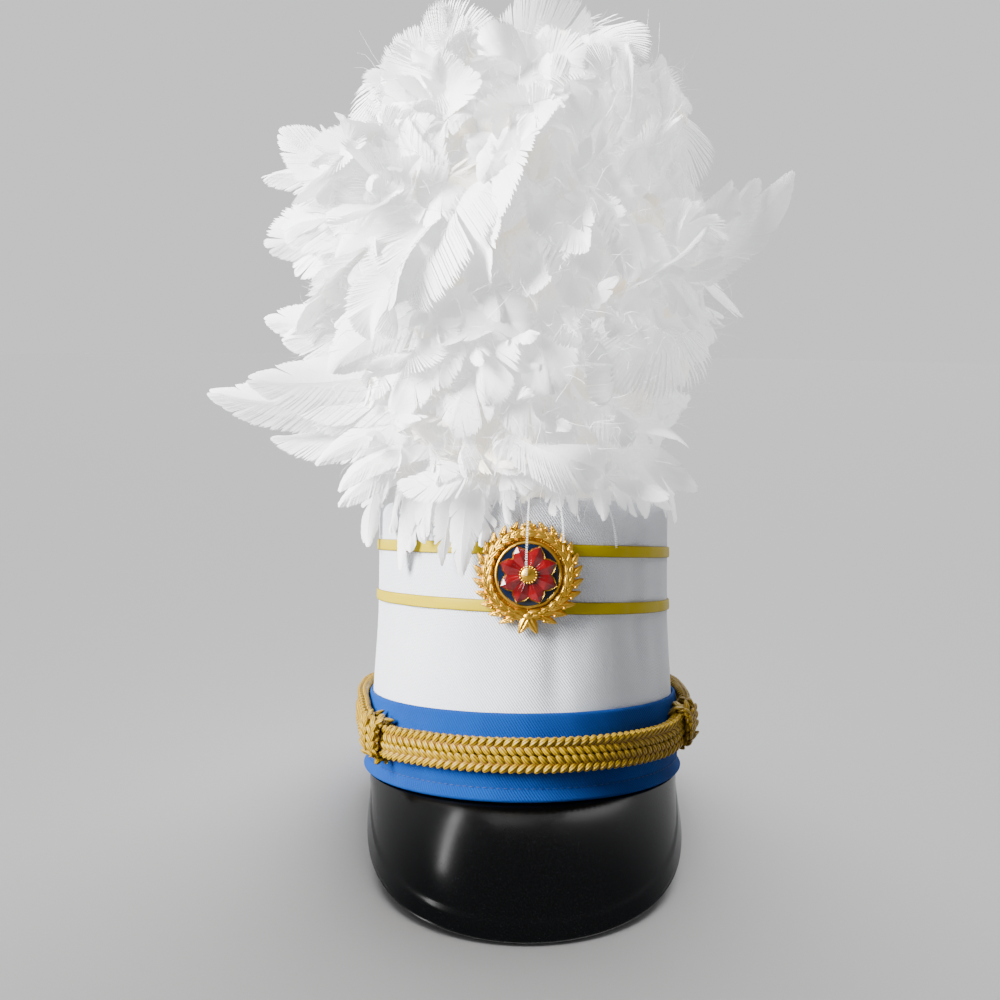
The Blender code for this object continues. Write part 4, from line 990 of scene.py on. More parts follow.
def cord_knot(name, at, finish, recess_shade_finish):
    """A slide knot: wraps of the same braid round both runs of the cord, close against each other."""
    bundles, cores = [], []
    half_depth = 0.5 * CORD_DEPTH + KNOT_CLEARANCE
    half_height = CORD_HEIGHT + KNOT_CLEARANCE + 0.5 * GAP
    width = KNOT_LENGTH / KNOT_WRAPS
    for wrap in range(KNOT_WRAPS):
        here = at + (wrap - 0.5 * (KNOT_WRAPS - 1)) * width / (0.5 * FOOT_LENGTH)
        place = cord_place(np.array([here]), 0.0)[0]
        out = oval_out(np.array([here]))[0]
        along = unit(np.cross(UP, out))
        turn = turns(240)
        wall = KNOT_INNER_WALL + (KNOT_OUTER_WALL - KNOT_INNER_WALL) * (0.5 + 0.5 * np.cos(turn))
        deep = (half_depth + 0.5 * wall) * np.cos(turn)
        high = (half_depth + 0.5 * wall) * np.sin(turn) + np.sign(np.sin(turn)) * (half_height - half_depth)
        lean = KNOT_SLANT * np.sin(turn) * (1.0 if wrap % 2 else -1.0)
        loop = place + out * deep[:, None] + along * lean[:, None] + UP * high[:, None]
        path = evenly(loop)
        straight = half_height - half_depth
        middle = place + UP * np.clip(path[:, 2:3] - place[2], -straight, straight)
        outward = unit(path - middle)
        facing = 0.5 + 0.5 * (unit(path - place) @ out)
        depth = 1.9 * (KNOT_INNER_WALL + (KNOT_OUTER_WALL - KNOT_INNER_WALL) * facing)
        bundles.append(plait(path, outward, 1.04 * width, depth))
        cores.append(tube(path, 0.42 * width, 8, outward, 0.20))
    points, quads = join_parts(bundles)
    uv = braid_uv(len(points))
    make_piece(f"{name}_wraps", points, quads, finish, "gold_yarn", [name], uv=uv)
    make_piece(f"{name}_core", *join_parts(cores), recess_shade_finish, "gold_yarn")


def spokes(axis, count):
    """This many directions all round an axis, square to it."""
    helper = UP if abs(axis[2]) < 0.9 else np.array([1.0, 0.0, 0.0])
    first = unit(np.cross(helper, axis))
    second = np.cross(axis, first)
    turn = turns(count)[:, None]
    return first * np.cos(turn) + second * np.sin(turn)


def turned_form(profile, sides, place, axis):
    """A turned form about an axis; profile rows are (radius, distance along the axis)."""
    ring = spokes(axis, sides)
    radius = np.array([row[0] for row in profile])[:, None, None]
    along = np.array([row[1] for row in profile])[:, None, None]
    points = place + ring[None] * radius + axis * along
    return points.reshape(-1, 3), grid_quads(len(profile), sides, wrap_columns=True)


def side_button(name, side_of_hat, finish):
    """A domed button with a rolled edge and a ring of small beads."""
    at = np.array([side_of_hat * BUTTON_ANGLE])
    level = float(cord_middle(at)[1][0])
    place = band_point(at, GAP, level)[0]
    step = 0.01
    across = band_point(at + step, 0.0, level)[0] - band_point(at - step, 0.0, level)[0]
    up = band_point(at, 0.0, level + 0.0004)[0] - band_point(at, 0.0, level - 0.0004)[0]
    axis = unit(np.cross(across, up))
    shank = 0.5 * BUTTON_SHANK_DIAMETER
    base = 0.5 * BUTTON_BASE_DIAMETER
    dome = 0.5 * BUTTON_DOME_DIAMETER
    under = BUTTON_BASE_THICKNESS + CORD_DEPTH + 4.0 * GAP
    profile = [(0.0001, 0.0), (base, 0.0), (base, BUTTON_BASE_THICKNESS), (shank, BUTTON_BASE_THICKNESS)]
    profile += [(shank, under), (0.93 * dome, under)]
    for turn in np.linspace(-0.5 * math.pi, 0.5 * math.pi, 7):
        lip = 0.5 * BUTTON_LIP
        profile.append((dome - lip + lip * math.cos(turn), under + lip + lip * math.sin(turn)))
    for share in np.linspace(0.88, 0.02, 18):
        bulge = math.sqrt(1.0 - (share / 0.95) ** 2)
        profile.append((share * dome, under + BUTTON_LIP + (BUTTON_DOME_HEIGHT - BUTTON_LIP) * bulge))
    parts = [turned_form(profile, 48, place, axis)]
    ring = place + axis * (under + 0.85 * BUTTON_LIP) + spokes(axis, 36) * (0.86 * dome)
    parts.append(beads(ring, BUTTON_BEAD_RADIUS))
    points, quads = join_parts(parts)
    make_piece(f"{name}_dome", points, quads, finish, "gilt", [name])


# Badge


def badge_place(across, up, ahead):
    """Points of the badge: across and up from its centre, and ahead of its back at that place."""
    share = float(column(CROWN_SECTIONS, 1, BADGE_LEVEL / CROWN_HEIGHT))
    back = 2.0 * GAP + RIBBON_THICKNESS
    front = oval(np.array([0.0]), back, BADGE_LEVEL)[0]
    curve = np.sqrt(np.maximum(1.0 - (np.asarray(across) / (0.5 * FOOT_WIDTH * share)) ** 2, 0.0))
    sag = BADGE_CURVE_SHARE * 0.5 * FOOT_LENGTH * share * (1.0 - curve)
    spread = np.broadcast_arrays(across, up, ahead, sag)
    return front + np.stack([spread[0], spread[3] - spread[2], spread[1]], axis=-1)


def badge_ring(radius, count, ahead):
    """This many points of the badge, all round its centre."""
    turn = turns(count)
    return badge_place(radius * np.cos(turn), radius * np.sin(turn), ahead)


def disc_form(radius, back, rows, sides=72):
    """A round plate; rows are (share of the radius, height of the face), from the rim inwards."""
    rows = [(0.02, back), (0.6, back), (1.0, back)] + list(rows)
    points = [badge_ring(radius * share, sides, ahead) for share, ahead in rows]
    return np.array(points).reshape(-1, 3), grid_quads(len(points), sides, wrap_columns=True)


def leaf_form(root, aim, length, width, thick, lift, vein=0.25, rows=14, cells=6):
    """A leaf in relief: a pointed outline with a raised middle, a sunk vein and slanting ribs."""
    share = np.linspace(0.0, 1.0, rows)
    outline = 0.5 * width * np.sin(math.pi * np.clip(share * 0.93 + 0.07, 0.0, 1.0) ** 0.85) ** 0.75
    side = np.linspace(-1.0, 1.0, 2 * cells + 1)
    beside = np.array([-aim[1], aim[0]])
    along = root + aim * (length * share)[:, None]
    spot = along[:, None, :] + beside * (outline[:, None] * side[None])[..., None]
    dome = (1.0 - side**2)[None] * (0.45 + 0.55 * np.sin(math.pi * share))[:, None]
    sunk = vein * np.exp(-((side / 0.16) ** 2))[None]
    ribs = 0.16 * np.sin(34.0 * (share[:, None] - 0.25 * np.abs(side)[None])) * (1.0 - side**2)[None]
    ahead = lift + thick * (0.15 + 0.85 * dome - sunk * dome + ribs)
    points = badge_place(spot[..., 0], spot[..., 1], ahead)
    back = badge_place(spot[..., 0], spot[..., 1], lift - 0.4 * thick)
    return shell(points, back)


def badge_wreath(finish):
    """The stamped plate: a sunk ground, two curved sprays of laurel with berries, and a bow."""
    thick = BADGE_PLATE_THICKNESS
    rim = [(1.0, 0.7 * thick), (0.985, thick), (0.955, thick), (0.945, 0.7 * thick), (0.80, 0.7 * thick)]
    parts = [disc_form(BADGE_PLATE_RADIUS, 0.0, rim + [(0.74, 0.8 * thick), (0.72, thick), (0.02, thick)])]
    for side in (-1.0, 1.0):
        for index in range(LEAVES_A_SIDE):
            share = index / (LEAVES_A_SIDE - 1)
            turn = math.radians(WREATH_FROM + (WREATH_TO - WREATH_FROM) * share)
            spot = np.array([side * math.cos(turn), math.sin(turn)])
            climb = np.array([-side * math.sin(turn), math.cos(turn)])
            for lean, size, lift in LEAF_ROWS:
                aim = climb * math.cos(lean) + spot * math.sin(lean)
                length = LEAF_LENGTH * size * (1.0 - LEAF_TAPER * share)
                root = spot * LEAF_ROW_RADIUS
                parts.append(leaf_form(root, aim, length, LEAF_WIDTH, LEAF_THICKNESS, lift))
            berry = spot * (LEAF_ROW_RADIUS + BERRY_OUT) + climb * BERRY_AHEAD
            parts.append(beads(badge_place(berry[0], berry[1], 2.4 * thick)[None], BERRY_RADIUS, 10, 8))
    tie = np.array([0.0, -LEAF_ROW_RADIUS])
    for degrees, size in BOW_STRIPS:
        aim = np.array([math.cos(math.radians(degrees)), math.sin(math.radians(degrees))])
        start = tie - aim * BOW_STRIP_OVERLAP
        length = BOW_STRIP_LENGTH * size
        parts.append(leaf_form(start, aim, length, BOW_STRIP_WIDTH, LEAF_THICKNESS, BOW_LIFT, 0.6))
    knot = badge_place(tie[0], tie[1], BOW_LIFT + 0.5 * LEAF_THICKNESS)
    parts.append(copies(*ball_form(14, 10), np.concatenate([knot[None], np.diag(BOW_KNOT_SIZE)])[None]))
    parts.append(beads(badge_ring(0.765 * BADGE_PLATE_RADIUS, 84, 1.02 * thick), PLATE_BEAD_RADIUS))
    post_radius = 0.5 * BADGE_POST_DIAMETER
    reach = 2.0 * GAP + RIBBON_THICKNESS + CROWN_WALL + 2.0 * GAP + POST_TIP_REACH
    post = [(0.0001, -reach), (0.8 * post_radius, -reach), (post_radius, POST_CHAMFER - reach)]
    post.append((post_radius, 0.0))
    parts.append(turned_form(post, 24, badge_place(0.0, 0.0, 0.0), np.array([0.0, -1.0, 0.0])))
    points, quads = join_parts(parts)
    make_piece("badge_laurel", points, quads, finish, "gilt", ["badge_wreath"])


def badge_disc(finish, rim_finish):
    """A domed enamel disc inside a raised gilt rim."""
    back = BADGE_PLATE_THICKNESS + GAP
    face = back + DISC_THICKNESS
    rows = [(0.985, back), (0.985, face - DISC_FACE_SINK)]
    for share in np.linspace(0.94, 0.02, 14):
        rows.append((share, face - DISC_FACE_SINK + DISC_DOME * (1.0 - share**2)))
    points, quads = disc_form(0.965 * DISC_RADIUS, back, rows)
    make_piece("disc_enamel", points, quads, finish, "blue_enamel", ["badge_disc"])
    radius = DISC_RADIUS - DISC_RIM_INSET
    ring = badge_ring(radius, 120, face - DISC_RIM_SINK)
    out = badge_ring(1.1 * radius, 120, face - DISC_RIM_SINK) - ring
    points, quads = tube(ring, DISC_RIM_RADIUS, 10, unit(out))
    make_piece("disc_rim", points, quads, rim_finish, "gilt")


def petal_form(aim, inset, back, crest):
    """A faceted petal with a sharp ridge; inset draws its outline in all round."""
    length = ROSETTE_RADIUS - PETAL_ROOT - inset
    share = np.array([0.0, 0.10, 0.62, 0.80, 1.0])
    broad = np.array([0.16, 0.34, 1.0, 0.72, 0.0])
    half = np.maximum(0.5 * PETAL_WIDTH * 0.92 * broad - inset, 0.00002)
    side = np.array([-1.0, -0.5, 0.0, 0.5, 1.0])
    beside = np.array([-aim[1], aim[0]])
    along = aim * (PETAL_ROOT + length * share)[:, None]
    spot = along[:, None] + beside * (half[:, None] * side[None])[..., None]
    height = back + crest * (1.0 - np.abs(side))[None] * np.array([0.7, 0.8, 1.0, 0.85, 0.1])[:, None]
    face = badge_place(spot[..., 0], spot[..., 1], height + PETAL_BASE)
    under = badge_place(spot[..., 0], spot[..., 1], back - 0.0001)
    return shell(face, under)


def badge_rosette(finish, rim_finish):
    """Red faceted petals, each in a thin gilt cell, round a gilt boss."""
    back = BADGE_PLATE_THICKNESS + DISC_THICKNESS + DISC_DOME + 2.0 * GAP
    petals, cells = [], []
    for index in range(ROSETTE_PETALS):
        turn = math.tau * (index + 0.5) / ROSETTE_PETALS
        aim = np.array([math.cos(turn), math.sin(turn)])
        petals.append(petal_form(aim, PETAL_INSET, back + CELL_CREST, PETAL_CREST))
        cells.append(petal_form(aim, 0.0, back, CELL_CREST))
    points, quads = join_parts(petals)
    make_piece("petal_enamel", points, quads, finish, "red_enamel", ["badge_rosette"], smooth=False)
    top = back + PETAL_THICKNESS
    rows = [(1.0, back + PETAL_BASE), (0.98, top)]
    rows += [(share, top + BOSS_RISE * (1.0 - share**2)) for share in np.linspace(0.9, 0.05, 8)]
    cells.append(disc_form(BOSS_RADIUS * 0.8, back, rows, 36))
    cells.append(beads(badge_ring(BOSS_RADIUS * 0.86, 18, top), BOSS_BEAD_RADIUS))
    points, quads = join_parts(cells)
    make_piece("petal_cells", points, quads, rim_finish, "gilt")


# Feathers


def plume_foot():
    return oval(np.array([0.0]), -PLUME_SETBACK, CROWN_HEIGHT)[0]


def plume_reach(share, angle):
    """How far the plume's outline lies from its stem, at shares of its height and angles from the front."""
    left, right, front, back = (column(PLUME_OUTLINE, index, share) for index in (1, 2, 3, 4))
    across = 0.5 * PLUME_WIDTH * np.where(np.sin(angle) > 0.0, right, left)
    along = 0.5 * PLUME_DEPTH * np.where(np.cos(angle) > 0.0, front, back)
    return 1.0 / np.hypot(np.sin(angle) / across, np.cos(angle) / along)


def curve_points(roots, tips, leave, arrive, share):
    """Points of smooth curves, one for each root, at the same shares of their length."""
    t = share[None, :, None]
    ends = roots[:, None] * (1.0 + 2.0 * t) * (1.0 - t) ** 2 + tips[:, None] * (t * t * (3.0 - 2.0 * t))
    return ends + leave[:, None] * (t * (1.0 - t) ** 2) - arrive[:, None] * (t * t * (1.0 - t))


def feathers(name, draw, quills, finish, loose, replaced=(), barbs=64, fluff=0.22):
    """Curved feathers, each a shaft with a row of barbs down each side.

    quills holds each feather's root, tip, leaving and arriving slopes, the way its face looks, its width
    and how far its vane curls. Loose says how far the barbs part into clumps and how ragged their ends
    are, and fluff is the share of the feather at its root where they stand out as down.
    """
    roots, tips, leave, arrive, facing, width, cup = quills
    count = len(roots)
    share = np.linspace(0.0, 1.0, barbs)
    spine = curve_points(roots, tips, leave, arrive, share)
    ahead = unit(np.gradient(spine, axis=1))
    lengths = np.linalg.norm(np.diff(spine, axis=1), axis=2).sum(axis=1)
    side = unit(np.cross(facing[:, None], ahead))
    twist = draw.normal(0.0, 0.5, count)[:, None] * share[None]
    face = np.cross(ahead, side)
    side, face = (side * np.cos(twist)[..., None] + face * np.sin(twist)[..., None],
                  face * np.cos(twist)[..., None] - side * np.sin(twist)[..., None])
    blade = np.sin(math.pi * (0.07 + 0.90 * share) ** 0.85) ** 0.55
    reach = 0.5 * width[:, None] * blade[None]
    fluffy = (1.0 - eased(share, 0.0, max(fluff, 0.01)))[None]
    pitch = lengths[:, None] / (barbs - 1)
    stations = np.array([0.0, 0.50, 0.89, 1.0])
    wide = np.array([0.56, 0.60, 0.62, 0.0])
    parts = []
    for way in (-1.0, 1.0):
        clump = share[None] * draw.uniform(1.5, 4.0, (count, 1)) + draw.uniform(0.0, 6.0, (count, 1))
        clump = clump + 0.25 * np.sin(3.1 * clump)
        split = clump % 1.0
        jitter = draw.normal(0.0, 1.0, (count, barbs))
        lean = 0.50 + 0.30 * share[None] + 0.55 * share[None] ** 6 - 0.50 * loose * (split - 0.5)
        lean = lean + 0.014 * jitter + 0.45 * fluffy * draw.uniform(-1.0, 1.0, (count, barbs))
        ragged = 0.012 * np.abs(jitter) + 0.08 * loose * np.abs(jitter) + 0.24 * loose * np.abs(split - 0.5)
        far = reach * (1.0 - ragged)
        far = far * (1.0 + 0.20 * fluffy) * draw.uniform(0.85, 1.10, (count, 1))
        lift = 0.008 * draw.normal(0.0, 1.0, (count, barbs)) + 0.22 * loose * np.sin(2.2 * clump)
        lift = lift + 0.45 * fluffy * draw.normal(0.0, 1.0, (count, barbs))
        curl = cup[:, None] * draw.uniform(0.7, 1.3, (count, 1)) * (0.4 + 0.6 * share[None])
        direction = side * (way * np.cos(lean))[..., None] + ahead * np.sin(lean)[..., None]
        edge_way = ahead * np.cos(lean)[..., None] - side * (way * np.sin(lean))[..., None]
        s = stations[None, None, :, None]
        far_s = far[..., None, None] * s
        drawn_in = 1.0 - 0.30 * np.abs(curl)[..., None, None] * s * s
        line = spine[:, :, None] + direction[:, :, None] * (far_s * drawn_in)
        line = line + face[:, :, None] * (far_s * (lift[..., None, None] - curl[..., None, None] * s))
        line = line + ahead[:, :, None] * (0.24 * far_s * s)
        thin = wide[None, None, :, None] * (1.0 - 0.55 * fluffy[..., None, None])
        half = edge_way[:, :, None] * (pitch[..., None, None] * thin)
        points = np.concatenate([(line - half)[:, :, :3], (line + half)[:, :, :3], line[:, :, 3:]], axis=2)
        parts.append(points.reshape(-1, 7, 3))
    points = np.concatenate(parts)
    quads = repeated(np.array([[0, 3, 4, 1], [1, 4, 5, 2]]), len(points), 7)
    tris = repeated(np.array([[2, 5, 6]]), len(points), 7)
    points = points.reshape(-1, 3)
    picks = np.linspace(0, barbs - 1, SHAFT_RINGS).astype(int)
    thick = np.minimum(SHAFT_RADIUS, 0.22 * width)[:, None, None] * (1.0 - 0.85 * share[picks])[None, :, None]
    thirds = math.tau * np.arange(3) / 3.0
    side, face, spine = side[:, picks], face[:, picks], spine[:, picks]
    rings = [spine + (side * math.cos(a) + face * math.sin(a)) * thick for a in thirds]
    shafts = np.stack(rings, axis=2).reshape(-1, 3)
    shaft_quads = repeated(grid_quads(SHAFT_RINGS, 3, wrap_columns=True), count, SHAFT_RINGS * 3)
    quads = np.concatenate([quads, shaft_quads + len(points)])
    points = keep_off_crown(np.concatenate([points, shafts]))
    make_piece(name, points, quads, finish, "white_feather", replaced, tris=tris)


def keep_off_crown(points):
    """Lifts barbs that would sink into the crown's top or side back to its surface."""
    level = points[:, 2]
    angle = np.arctan2(points[:, 0] / FOOT_WIDTH, -points[:, 1] / FOOT_LENGTH)
    skin = oval(angle, 0.0, np.clip(level, 0.0, CROWN_HEIGHT))
    inside = np.hypot(points[:, 0], points[:, 1]) - np.hypot(skin[:, 0], skin[:, 1])
    moved = points.copy()
    over = (inside < 0.0) & (level > CROWN_HEIGHT - EDGE_DEPTH) & (level < CROWN_HEIGHT + TOP_CLEARANCE)
    moved[over, 2] = CROWN_HEIGHT + TOP_CLEARANCE + 0.15 * (level[over] - CROWN_HEIGHT + EDGE_DEPTH)
    low = (inside < SIDE_CLEARANCE) & (level <= CROWN_HEIGHT - 0.004) & ~over
    out = oval_out(angle)
    moved[low] += out[low] * (SIDE_CLEARANCE - inside[low])[:, None]
    return moved


def on_plume(level, angle, share):
    """Places in the plume at shares of its height, angles from the front and shares of its reach."""
    heading = np.stack([np.sin(angle), -np.cos(angle), 0.0 * angle], axis=-1)
    reach = plume_reach(level, angle) * share
    return plume_foot() + heading * reach[:, None] + UP * (level * PLUME_HEIGHT)[:, None], heading


def group_feathers(draw, row, finish, replaced=()):
    """Feathers that lie along the plume's outline, each flowing its own way over it."""
    name, count, low, high, near, far, short, long, width_share, loose, stand, swirl = row
    angle = math.tau * ((np.arange(count) * GOLDEN_SHARE) % 1.0) + draw.uniform(-0.2, 0.2, count)
    level = low + (high - low) * (np.arange(count) + draw.uniform(0.0, 1.0, count)) / count
    tips, heading = on_plume(level, angle, draw.uniform(near, far, count))
    length = draw.uniform(short, long, count)
    rising = draw.uniform(0.0, 1.0, count) < eased(level, 0.42, 0.92)
    flow = draw.normal(0.0, swirl, count) + np.where(rising, math.pi, 0.0)
    up, beside = -np.cos(flow), np.sin(flow)
    radius = np.maximum(np.linalg.norm((tips - plume_foot())[:, :2], axis=1), 0.02)
    root_level = np.clip(level - 0.80 * up * length / PLUME_HEIGHT, 0.06, 0.93)
    root_angle = angle - np.clip(0.80 * beside * length / radius, -1.3, 1.3)
    roots, root_heading = on_plume(root_level, root_angle, draw.uniform(0.30, 0.62, count))
    course = np.cross(UP, heading) * beside[:, None] + UP * up[:, None]
    out = stand + draw.normal(0.0, 0.35, count)
    leave = unit(root_heading * 0.9 + course * 0.8) * length[:, None] * 1.15
    arrive = unit(course + heading * out[:, None] + draw.normal(0.0, 0.25, (count, 3))) * length[:, None]
    facing = unit(heading + draw.normal(0.0, 0.30, (count, 3)))
    width = length * width_share * draw.uniform(0.75, 1.20, count)
    cup = draw.normal(0.30, 0.35, count)
    feathers(name, draw, (roots, tips, leave, arrive, facing, width, cup), finish, loose, replaced)


def stray_feathers(name, draw, finish, followers=0):
    """The single feathers that stand out or, with followers, that many shorter ones beside each."""
    foot = plume_foot()
    rows = np.array(PLUME_STRAYS)
    half = np.array([0.5 * PLUME_WIDTH, 0.5 * PLUME_DEPTH, PLUME_HEIGHT])
    if followers:
        rows = np.repeat(rows, followers, axis=0)
        rows[:, 1:3] *= draw.uniform(0.74, 0.93, (len(rows), 1))
        rows[:, 0] += draw.normal(0.0, 0.05, len(rows))
        rows[:, 2] += draw.normal(0.0, 0.16, len(rows))
        rows[:, 3] += draw.normal(0.0, 0.035, len(rows))
        rows[:, 6] += draw.normal(0.0, 0.5, len(rows))
    tips = foot + rows[:, 1:4] * half
    heading = unit((tips - foot) * [1.0, 1.0, 0.0])
    roots = foot + heading * 0.012 + UP * (rows[:, 0] * PLUME_HEIGHT)[:, None]
    length = np.linalg.norm(tips - roots, axis=1)[:, None]
    leave = unit(heading + UP * rows[:, 5:6]) * length
    arrive = unit(heading - UP * rows[:, 6:7]) * length
    facing = unit(np.array([0.15, -1.0, 0.55]) + draw.normal(0.0, 0.15, (len(rows), 3)))
    cup = np.full(len(rows), 0.30)
    quills = (roots, tips, leave, arrive, facing, rows[:, 4] * 1.30, cup)
    feathers(name, draw, quills, finish, 0.25, barbs=100, fluff=0.3)


def drop_feathers(draw, finish):
    """Feathers that hang over the crown's edge in front."""
    foot = plume_foot()
    rows = np.array(PLUME_DROPS)
    angle = np.radians(rows[:, 0])
    roots = foot + (oval(np.radians(rows[:, 1]), -0.006, CROWN_HEIGHT) - foot) * 0.35
    roots[:, 2] = CROWN_HEIGHT + 0.030
    tips = oval(angle, 0.9 * rows[:, 3], rows[:, 2])
    out = oval_out(angle)
    length = np.linalg.norm(tips - roots, axis=1)[:, None]
    leave = unit(out + 0.10 * UP) * length * 1.5
    arrive = unit(out * 0.02 - UP) * length * 1.1
    cup = draw.uniform(0.1, 0.4, len(rows))
    quills = (roots, tips, leave, arrive, out, rows[:, 4] * 1.25, cup)
    feathers("drops", draw, quills, finish, 0.35, barbs=80, fluff=0.3)


def skirt_feathers(draw, finish):
    """Shorter feathers that lie over the crown's top edge across its front and sides and hide it in part."""
    foot = plume_foot()
    count = len(PLUME_SKIRT)
    degrees, tip_level, width = np.array(PLUME_SKIRT).T
    angle = np.radians(degrees)
    roots = foot + (oval(angle, -0.006, CROWN_HEIGHT) - foot) * 0.55
    roots[:, 2] = CROWN_HEIGHT + draw.uniform(0.020, 0.040, count)
    tips = oval(angle + draw.normal(0.0, 0.04, count), 0.0, tip_level)
    out = oval_out(angle)
    tips = tips + out * draw.uniform(0.004, 0.009, count)[:, None]
    length = np.linalg.norm(tips - roots, axis=1)[:, None]
    leave = unit(out + 0.2 * UP) * length * 1.4
    arrive = unit(out * 0.15 - UP + draw.normal(0.0, 0.2, (count, 3))) * length * 1.1
    facing = unit(out + draw.normal(0.0, 0.25, (count, 3)))
    quills = (roots, tips, leave, arrive, facing, width, draw.uniform(0.0, 0.5, count))
    feathers("skirt", draw, quills, finish, 0.8, barbs=64, fluff=0.35)


def wisps(draw, count, finish):
    """Single loose barbs that stand out of the plume all over and soften its outline."""
    angle = draw.uniform(-math.pi, math.pi, count)
    level = draw.uniform(0.02, 0.86, count)
    roots, heading = on_plume(level, angle, draw.uniform(0.60, 0.97, count))
    length = draw.uniform(0.008, 0.024, count)[:, None]
    drift = unit(heading * 0.7 + draw.normal(0.0, 0.6, (count, 3)))
    tips = roots + drift * length
    leave = unit(heading + draw.normal(0.0, 0.5, (count, 3))) * length * 1.2
    arrive = unit(drift + draw.normal(0.0, 0.8, (count, 3))) * length * 1.2
    share = np.linspace(0.0, 1.0, 6)
    line = curve_points(roots, tips, leave, arrive, share)
    ahead = unit(np.gradient(line, axis=1))
    side = unit(np.cross(ahead, draw.normal(0.0, 1.0, (count, 1, 3))))
    half = side * (WISP_WIDTH * (1.0 - 0.9 * share))[None, :, None]
    points = keep_off_crown(np.stack([line - half, line + half], axis=2).reshape(-1, 3))
    quads = repeated(grid_quads(6, 2), count, 12)
    make_piece("wisps", points, quads, finish, "white_feather")


def plume(finish, painted_backlight_finish):
    draw = np.random.default_rng(FEATHER_SEED)
    for index, row in enumerate(FEATHER_GROUPS):
        # The inner feathers and the core get the cream finish, whose tint is painted backlight glowing
        # through the plume's middle.
        painted_backlight = row[0].startswith("inner")
        group_feathers(draw, row, painted_backlight_finish if painted_backlight else finish, ["plume"] if index == 0 else ())
    stray_feathers("strays", draw, finish)
    stray_feathers("stray_tufts", draw, finish, followers=4)
    drop_feathers(draw, finish)
    skirt_feathers(draw, finish)
    wisps(draw, WISP_COUNT, finish)
    core(painted_backlight_finish)


def core(finish):
    """The wrapped stem and the short down round it, which closes the plume's middle."""
    foot = plume_foot()
    stem = [(0.5 * PLUME_STEM_DIAMETER, -SLEEVE_LENGTH), (0.5 * PLUME_STEM_DIAMETER, 0.010)]
    for share, broad in CORE_SECTIONS:
        stem.append((0.5 * PLUME_CORE_DIAMETER * broad * 0.8, 0.012 + share * PLUME_HEIGHT * 0.95))
    stem.append((0.001, 0.90 * PLUME_HEIGHT))
    points, quads = turned_form(stem, 40, foot, UP)
    make_piece("plume_core", points, quads, finish, "white_feather")


# Setting


def floor():
    """A wide pale floor."""
    bpy.ops.mesh.primitive_circle_add(vertices=96, radius=6.0, fill_type="NGON")
    piece = bpy.context.object
    piece.name = "floor"
    made = surface("floor", (0.64, 0.64, 0.64), 0.75)
    grain = noise(made, coordinates(made), 900.0, 3.0)
    set_bump(made, grain, 0.05, 0.0005)
    piece.data.materials.append(made)


def area_light(name, place, size, power, receivers, target=(0.0, 0.0, 0.20), along=(0.0, 0.0, 1.0)):
    """A soft box that faces its target, its second side along this direction; it lights one collection."""
    data = bpy.data.lights.new(name, "AREA")
    data.shape = "RECTANGLE"
    data.size = size[0]
    data.size_y = size[1]
    data.energy = power
    lamp = bpy.data.objects.new(name, data)
    bpy.context.scene.collection.objects.link(lamp)
    back = (Vector(place) - Vector(target)).normalized()
    across = Vector(along).cross(back).normalized()
    turn = Matrix((across, back.cross(across), back)).transposed().to_4x4()
    lamp.matrix_world = Matrix.Translation(place) @ turn
    lamp.light_linking.receiver_collection = receivers


def lights(hat_pieces):
    """A strong key from the left, a low fill, a rim on the feathers, a strip on the peak and a soft sky."""
    lit = bpy.data.collections.new("hat_pieces")
    glossy = bpy.data.collections.new("glossy_pieces")
    feathered = bpy.data.collections.new("feather_pieces")
    for piece in hat_pieces:
        (glossy if piece.name == "peak_gloss" else lit).objects.link(piece)
        if piece.data.materials[0].name.startswith(("white_feather", "cream_painted_backlight")):
            feathered.objects.link(piece)
    area_light("key", KEY_PLACE, (0.70, 1.10), KEY_POWER, lit)
    area_light("fill", FILL_PLACE, (1.2, 1.2), FILL_POWER, lit)
    area_light("strip", STRIP_PLACE, (0.10, 0.62), STRIP_POWER, glossy, STRIP_TARGET, STRIP_ALONG)
    area_light("rim", RIM_PLACE, (0.9, 0.9), RIM_POWER, feathered, (0.0, 0.0, 0.30))
    sky = bpy.data.lights.new("sky", "SUN")
    sky.energy = SKY_STRENGTH
    sky.angle = math.radians(70.0)
    lamp = bpy.data.objects.new("sky", sky)
    bpy.context.scene.collection.objects.link(lamp)
    lamp.rotation_euler = (-Vector(SKY_FROM)).to_track_quat("-Z", "Y").to_euler()


def surround():
    """A surround that lights the hat more from behind, and looks the same from every side."""
    world = bpy.data.worlds.new("studio")
    world.use_nodes = True
    split = node(world, "ShaderNodeSeparateXYZ", links={"Vector": coordinates(world, "Generated")})
    limits = {"From Min": -0.2, "From Max": 0.8, "To Min": WORLD_FRONT, "To Max": WORLD_BACK}
    spread = node(world, "ShaderNodeMapRange", limits, {"Value": split.outputs["Y"]})
    spread.interpolation_type = "SMOOTHSTEP"
    seen_by = node(world, "ShaderNodeLightPath").outputs["Is Camera Ray"]
    links = {"Factor": seen_by, "A": spread.outputs["Result"]}
    strength = node(world, "ShaderNodeMix", {"B": WORLD_BACK}, links)
    backdrop = world.node_tree.nodes["Background"]
    backdrop.inputs["Color"].default_value = (1.0, 1.0, 1.0, 1.0)
    world.node_tree.links.new(strength.outputs["Result"], backdrop.inputs["Strength"])
    bpy.context.scene.world = world


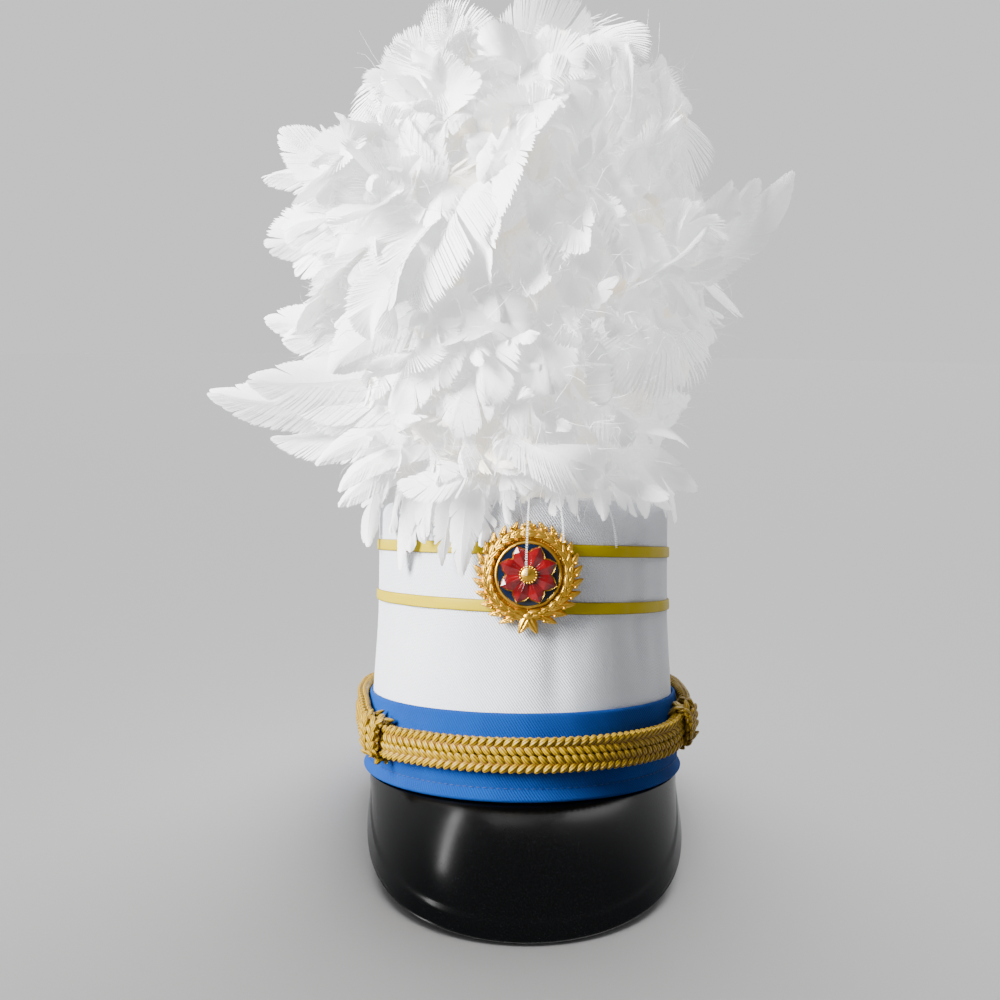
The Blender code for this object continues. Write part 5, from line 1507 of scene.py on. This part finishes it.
def camera():
    """The photograph's camera, in front of the hat and level with its crown."""
    right = Vector((math.cos(EYE_YAW), math.sin(EYE_YAW), 0.0))
    forward = Vector((-math.sin(EYE_YAW), math.cos(EYE_YAW), 0.0))
    up = Vector((0.0, 0.0, 1.0))
    place = -EYE_DISTANCE * forward + EYE_LEVEL * up
    rolled_right = right * math.cos(EYE_ROLL) + up * math.sin(EYE_ROLL)
    rolled_up = up * math.cos(EYE_ROLL) - right * math.sin(EYE_ROLL)
    turn = Matrix((rolled_right, rolled_up, -forward)).transposed().to_4x4()
    data = bpy.data.cameras.new("camera")
    data.sensor_width = SENSOR_WIDTH
    data.lens = SENSOR_WIDTH * LENS_SHARE
    data.shift_x = SHIFT_ACROSS
    data.shift_y = SHIFT_UP
    data.clip_start = 0.01
    data.clip_end = 50.0
    viewer = bpy.data.objects.new("camera", data)
    bpy.context.scene.collection.objects.link(viewer)
    viewer.matrix_world = HAT @ Matrix.Translation(place) @ turn
    bpy.context.scene.camera = viewer


def finish_nodes(metal):
    """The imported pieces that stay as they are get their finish."""
    for name in ("badge_nut", "plume_socket"):
        piece = frame["nodes"][name]
        piece.data.materials.clear()
        piece.data.materials.append(metal)


def main():
    gilding = gilt()
    yarn = gold_yarn()
    crown(white_twill())
    satin_finish = satin()
    ribbon("ribbon_upper", UPPER_RIBBON_LEVEL, UPPER_RIBBON_SLOPE, satin_finish)
    ribbon("ribbon_lower", LOWER_RIBBON_LEVEL, LOWER_RIBBON_SLOPE, satin_finish)
    base_band(blue_cloth(), thread("blue_thread", (0.001, 0.022, 0.13)))
    peak(black_plastic())
    # Painted shade: the braid's cores get a dark brown that stands for the shade in the recesses between the
    # yarn bundles.
    shaded_yarn = thread("painted_recess_shade", (0.16, 0.055, 0.002))
    front_cord(yarn, shaded_yarn)
    cord_knot("cord_knot_left", KNOT_LEFT_ANGLE, yarn, shaded_yarn)
    cord_knot("cord_knot_right", KNOT_RIGHT_ANGLE, yarn, shaded_yarn)
    side_button("side_button_left", -1.0, gilding)
    side_button("side_button_right", 1.0, gilding)
    badge_wreath(gilding)
    badge_disc(enamel("blue_enamel", (0.0015, 0.004, 0.014), (0.003, 0.010, 0.034)), gilding)
    badge_rosette(enamel("red_enamel", (0.07, 0.0006, 0.0015), (0.20, 0.0015, 0.004)), gilding)
    # The second feather finish's cream tint is painted backlight.
    plume(feather("white_feather", (0.90, 0.895, 0.885)), feather("cream_painted_backlight", (0.88, 0.77, 0.56)))
    finish_nodes(plain_metal())
    hat_pieces = [piece for piece in bpy.context.scene.objects if piece.type == "MESH"]
    lights(hat_pieces)
    surround()
    floor()
    camera()


main()
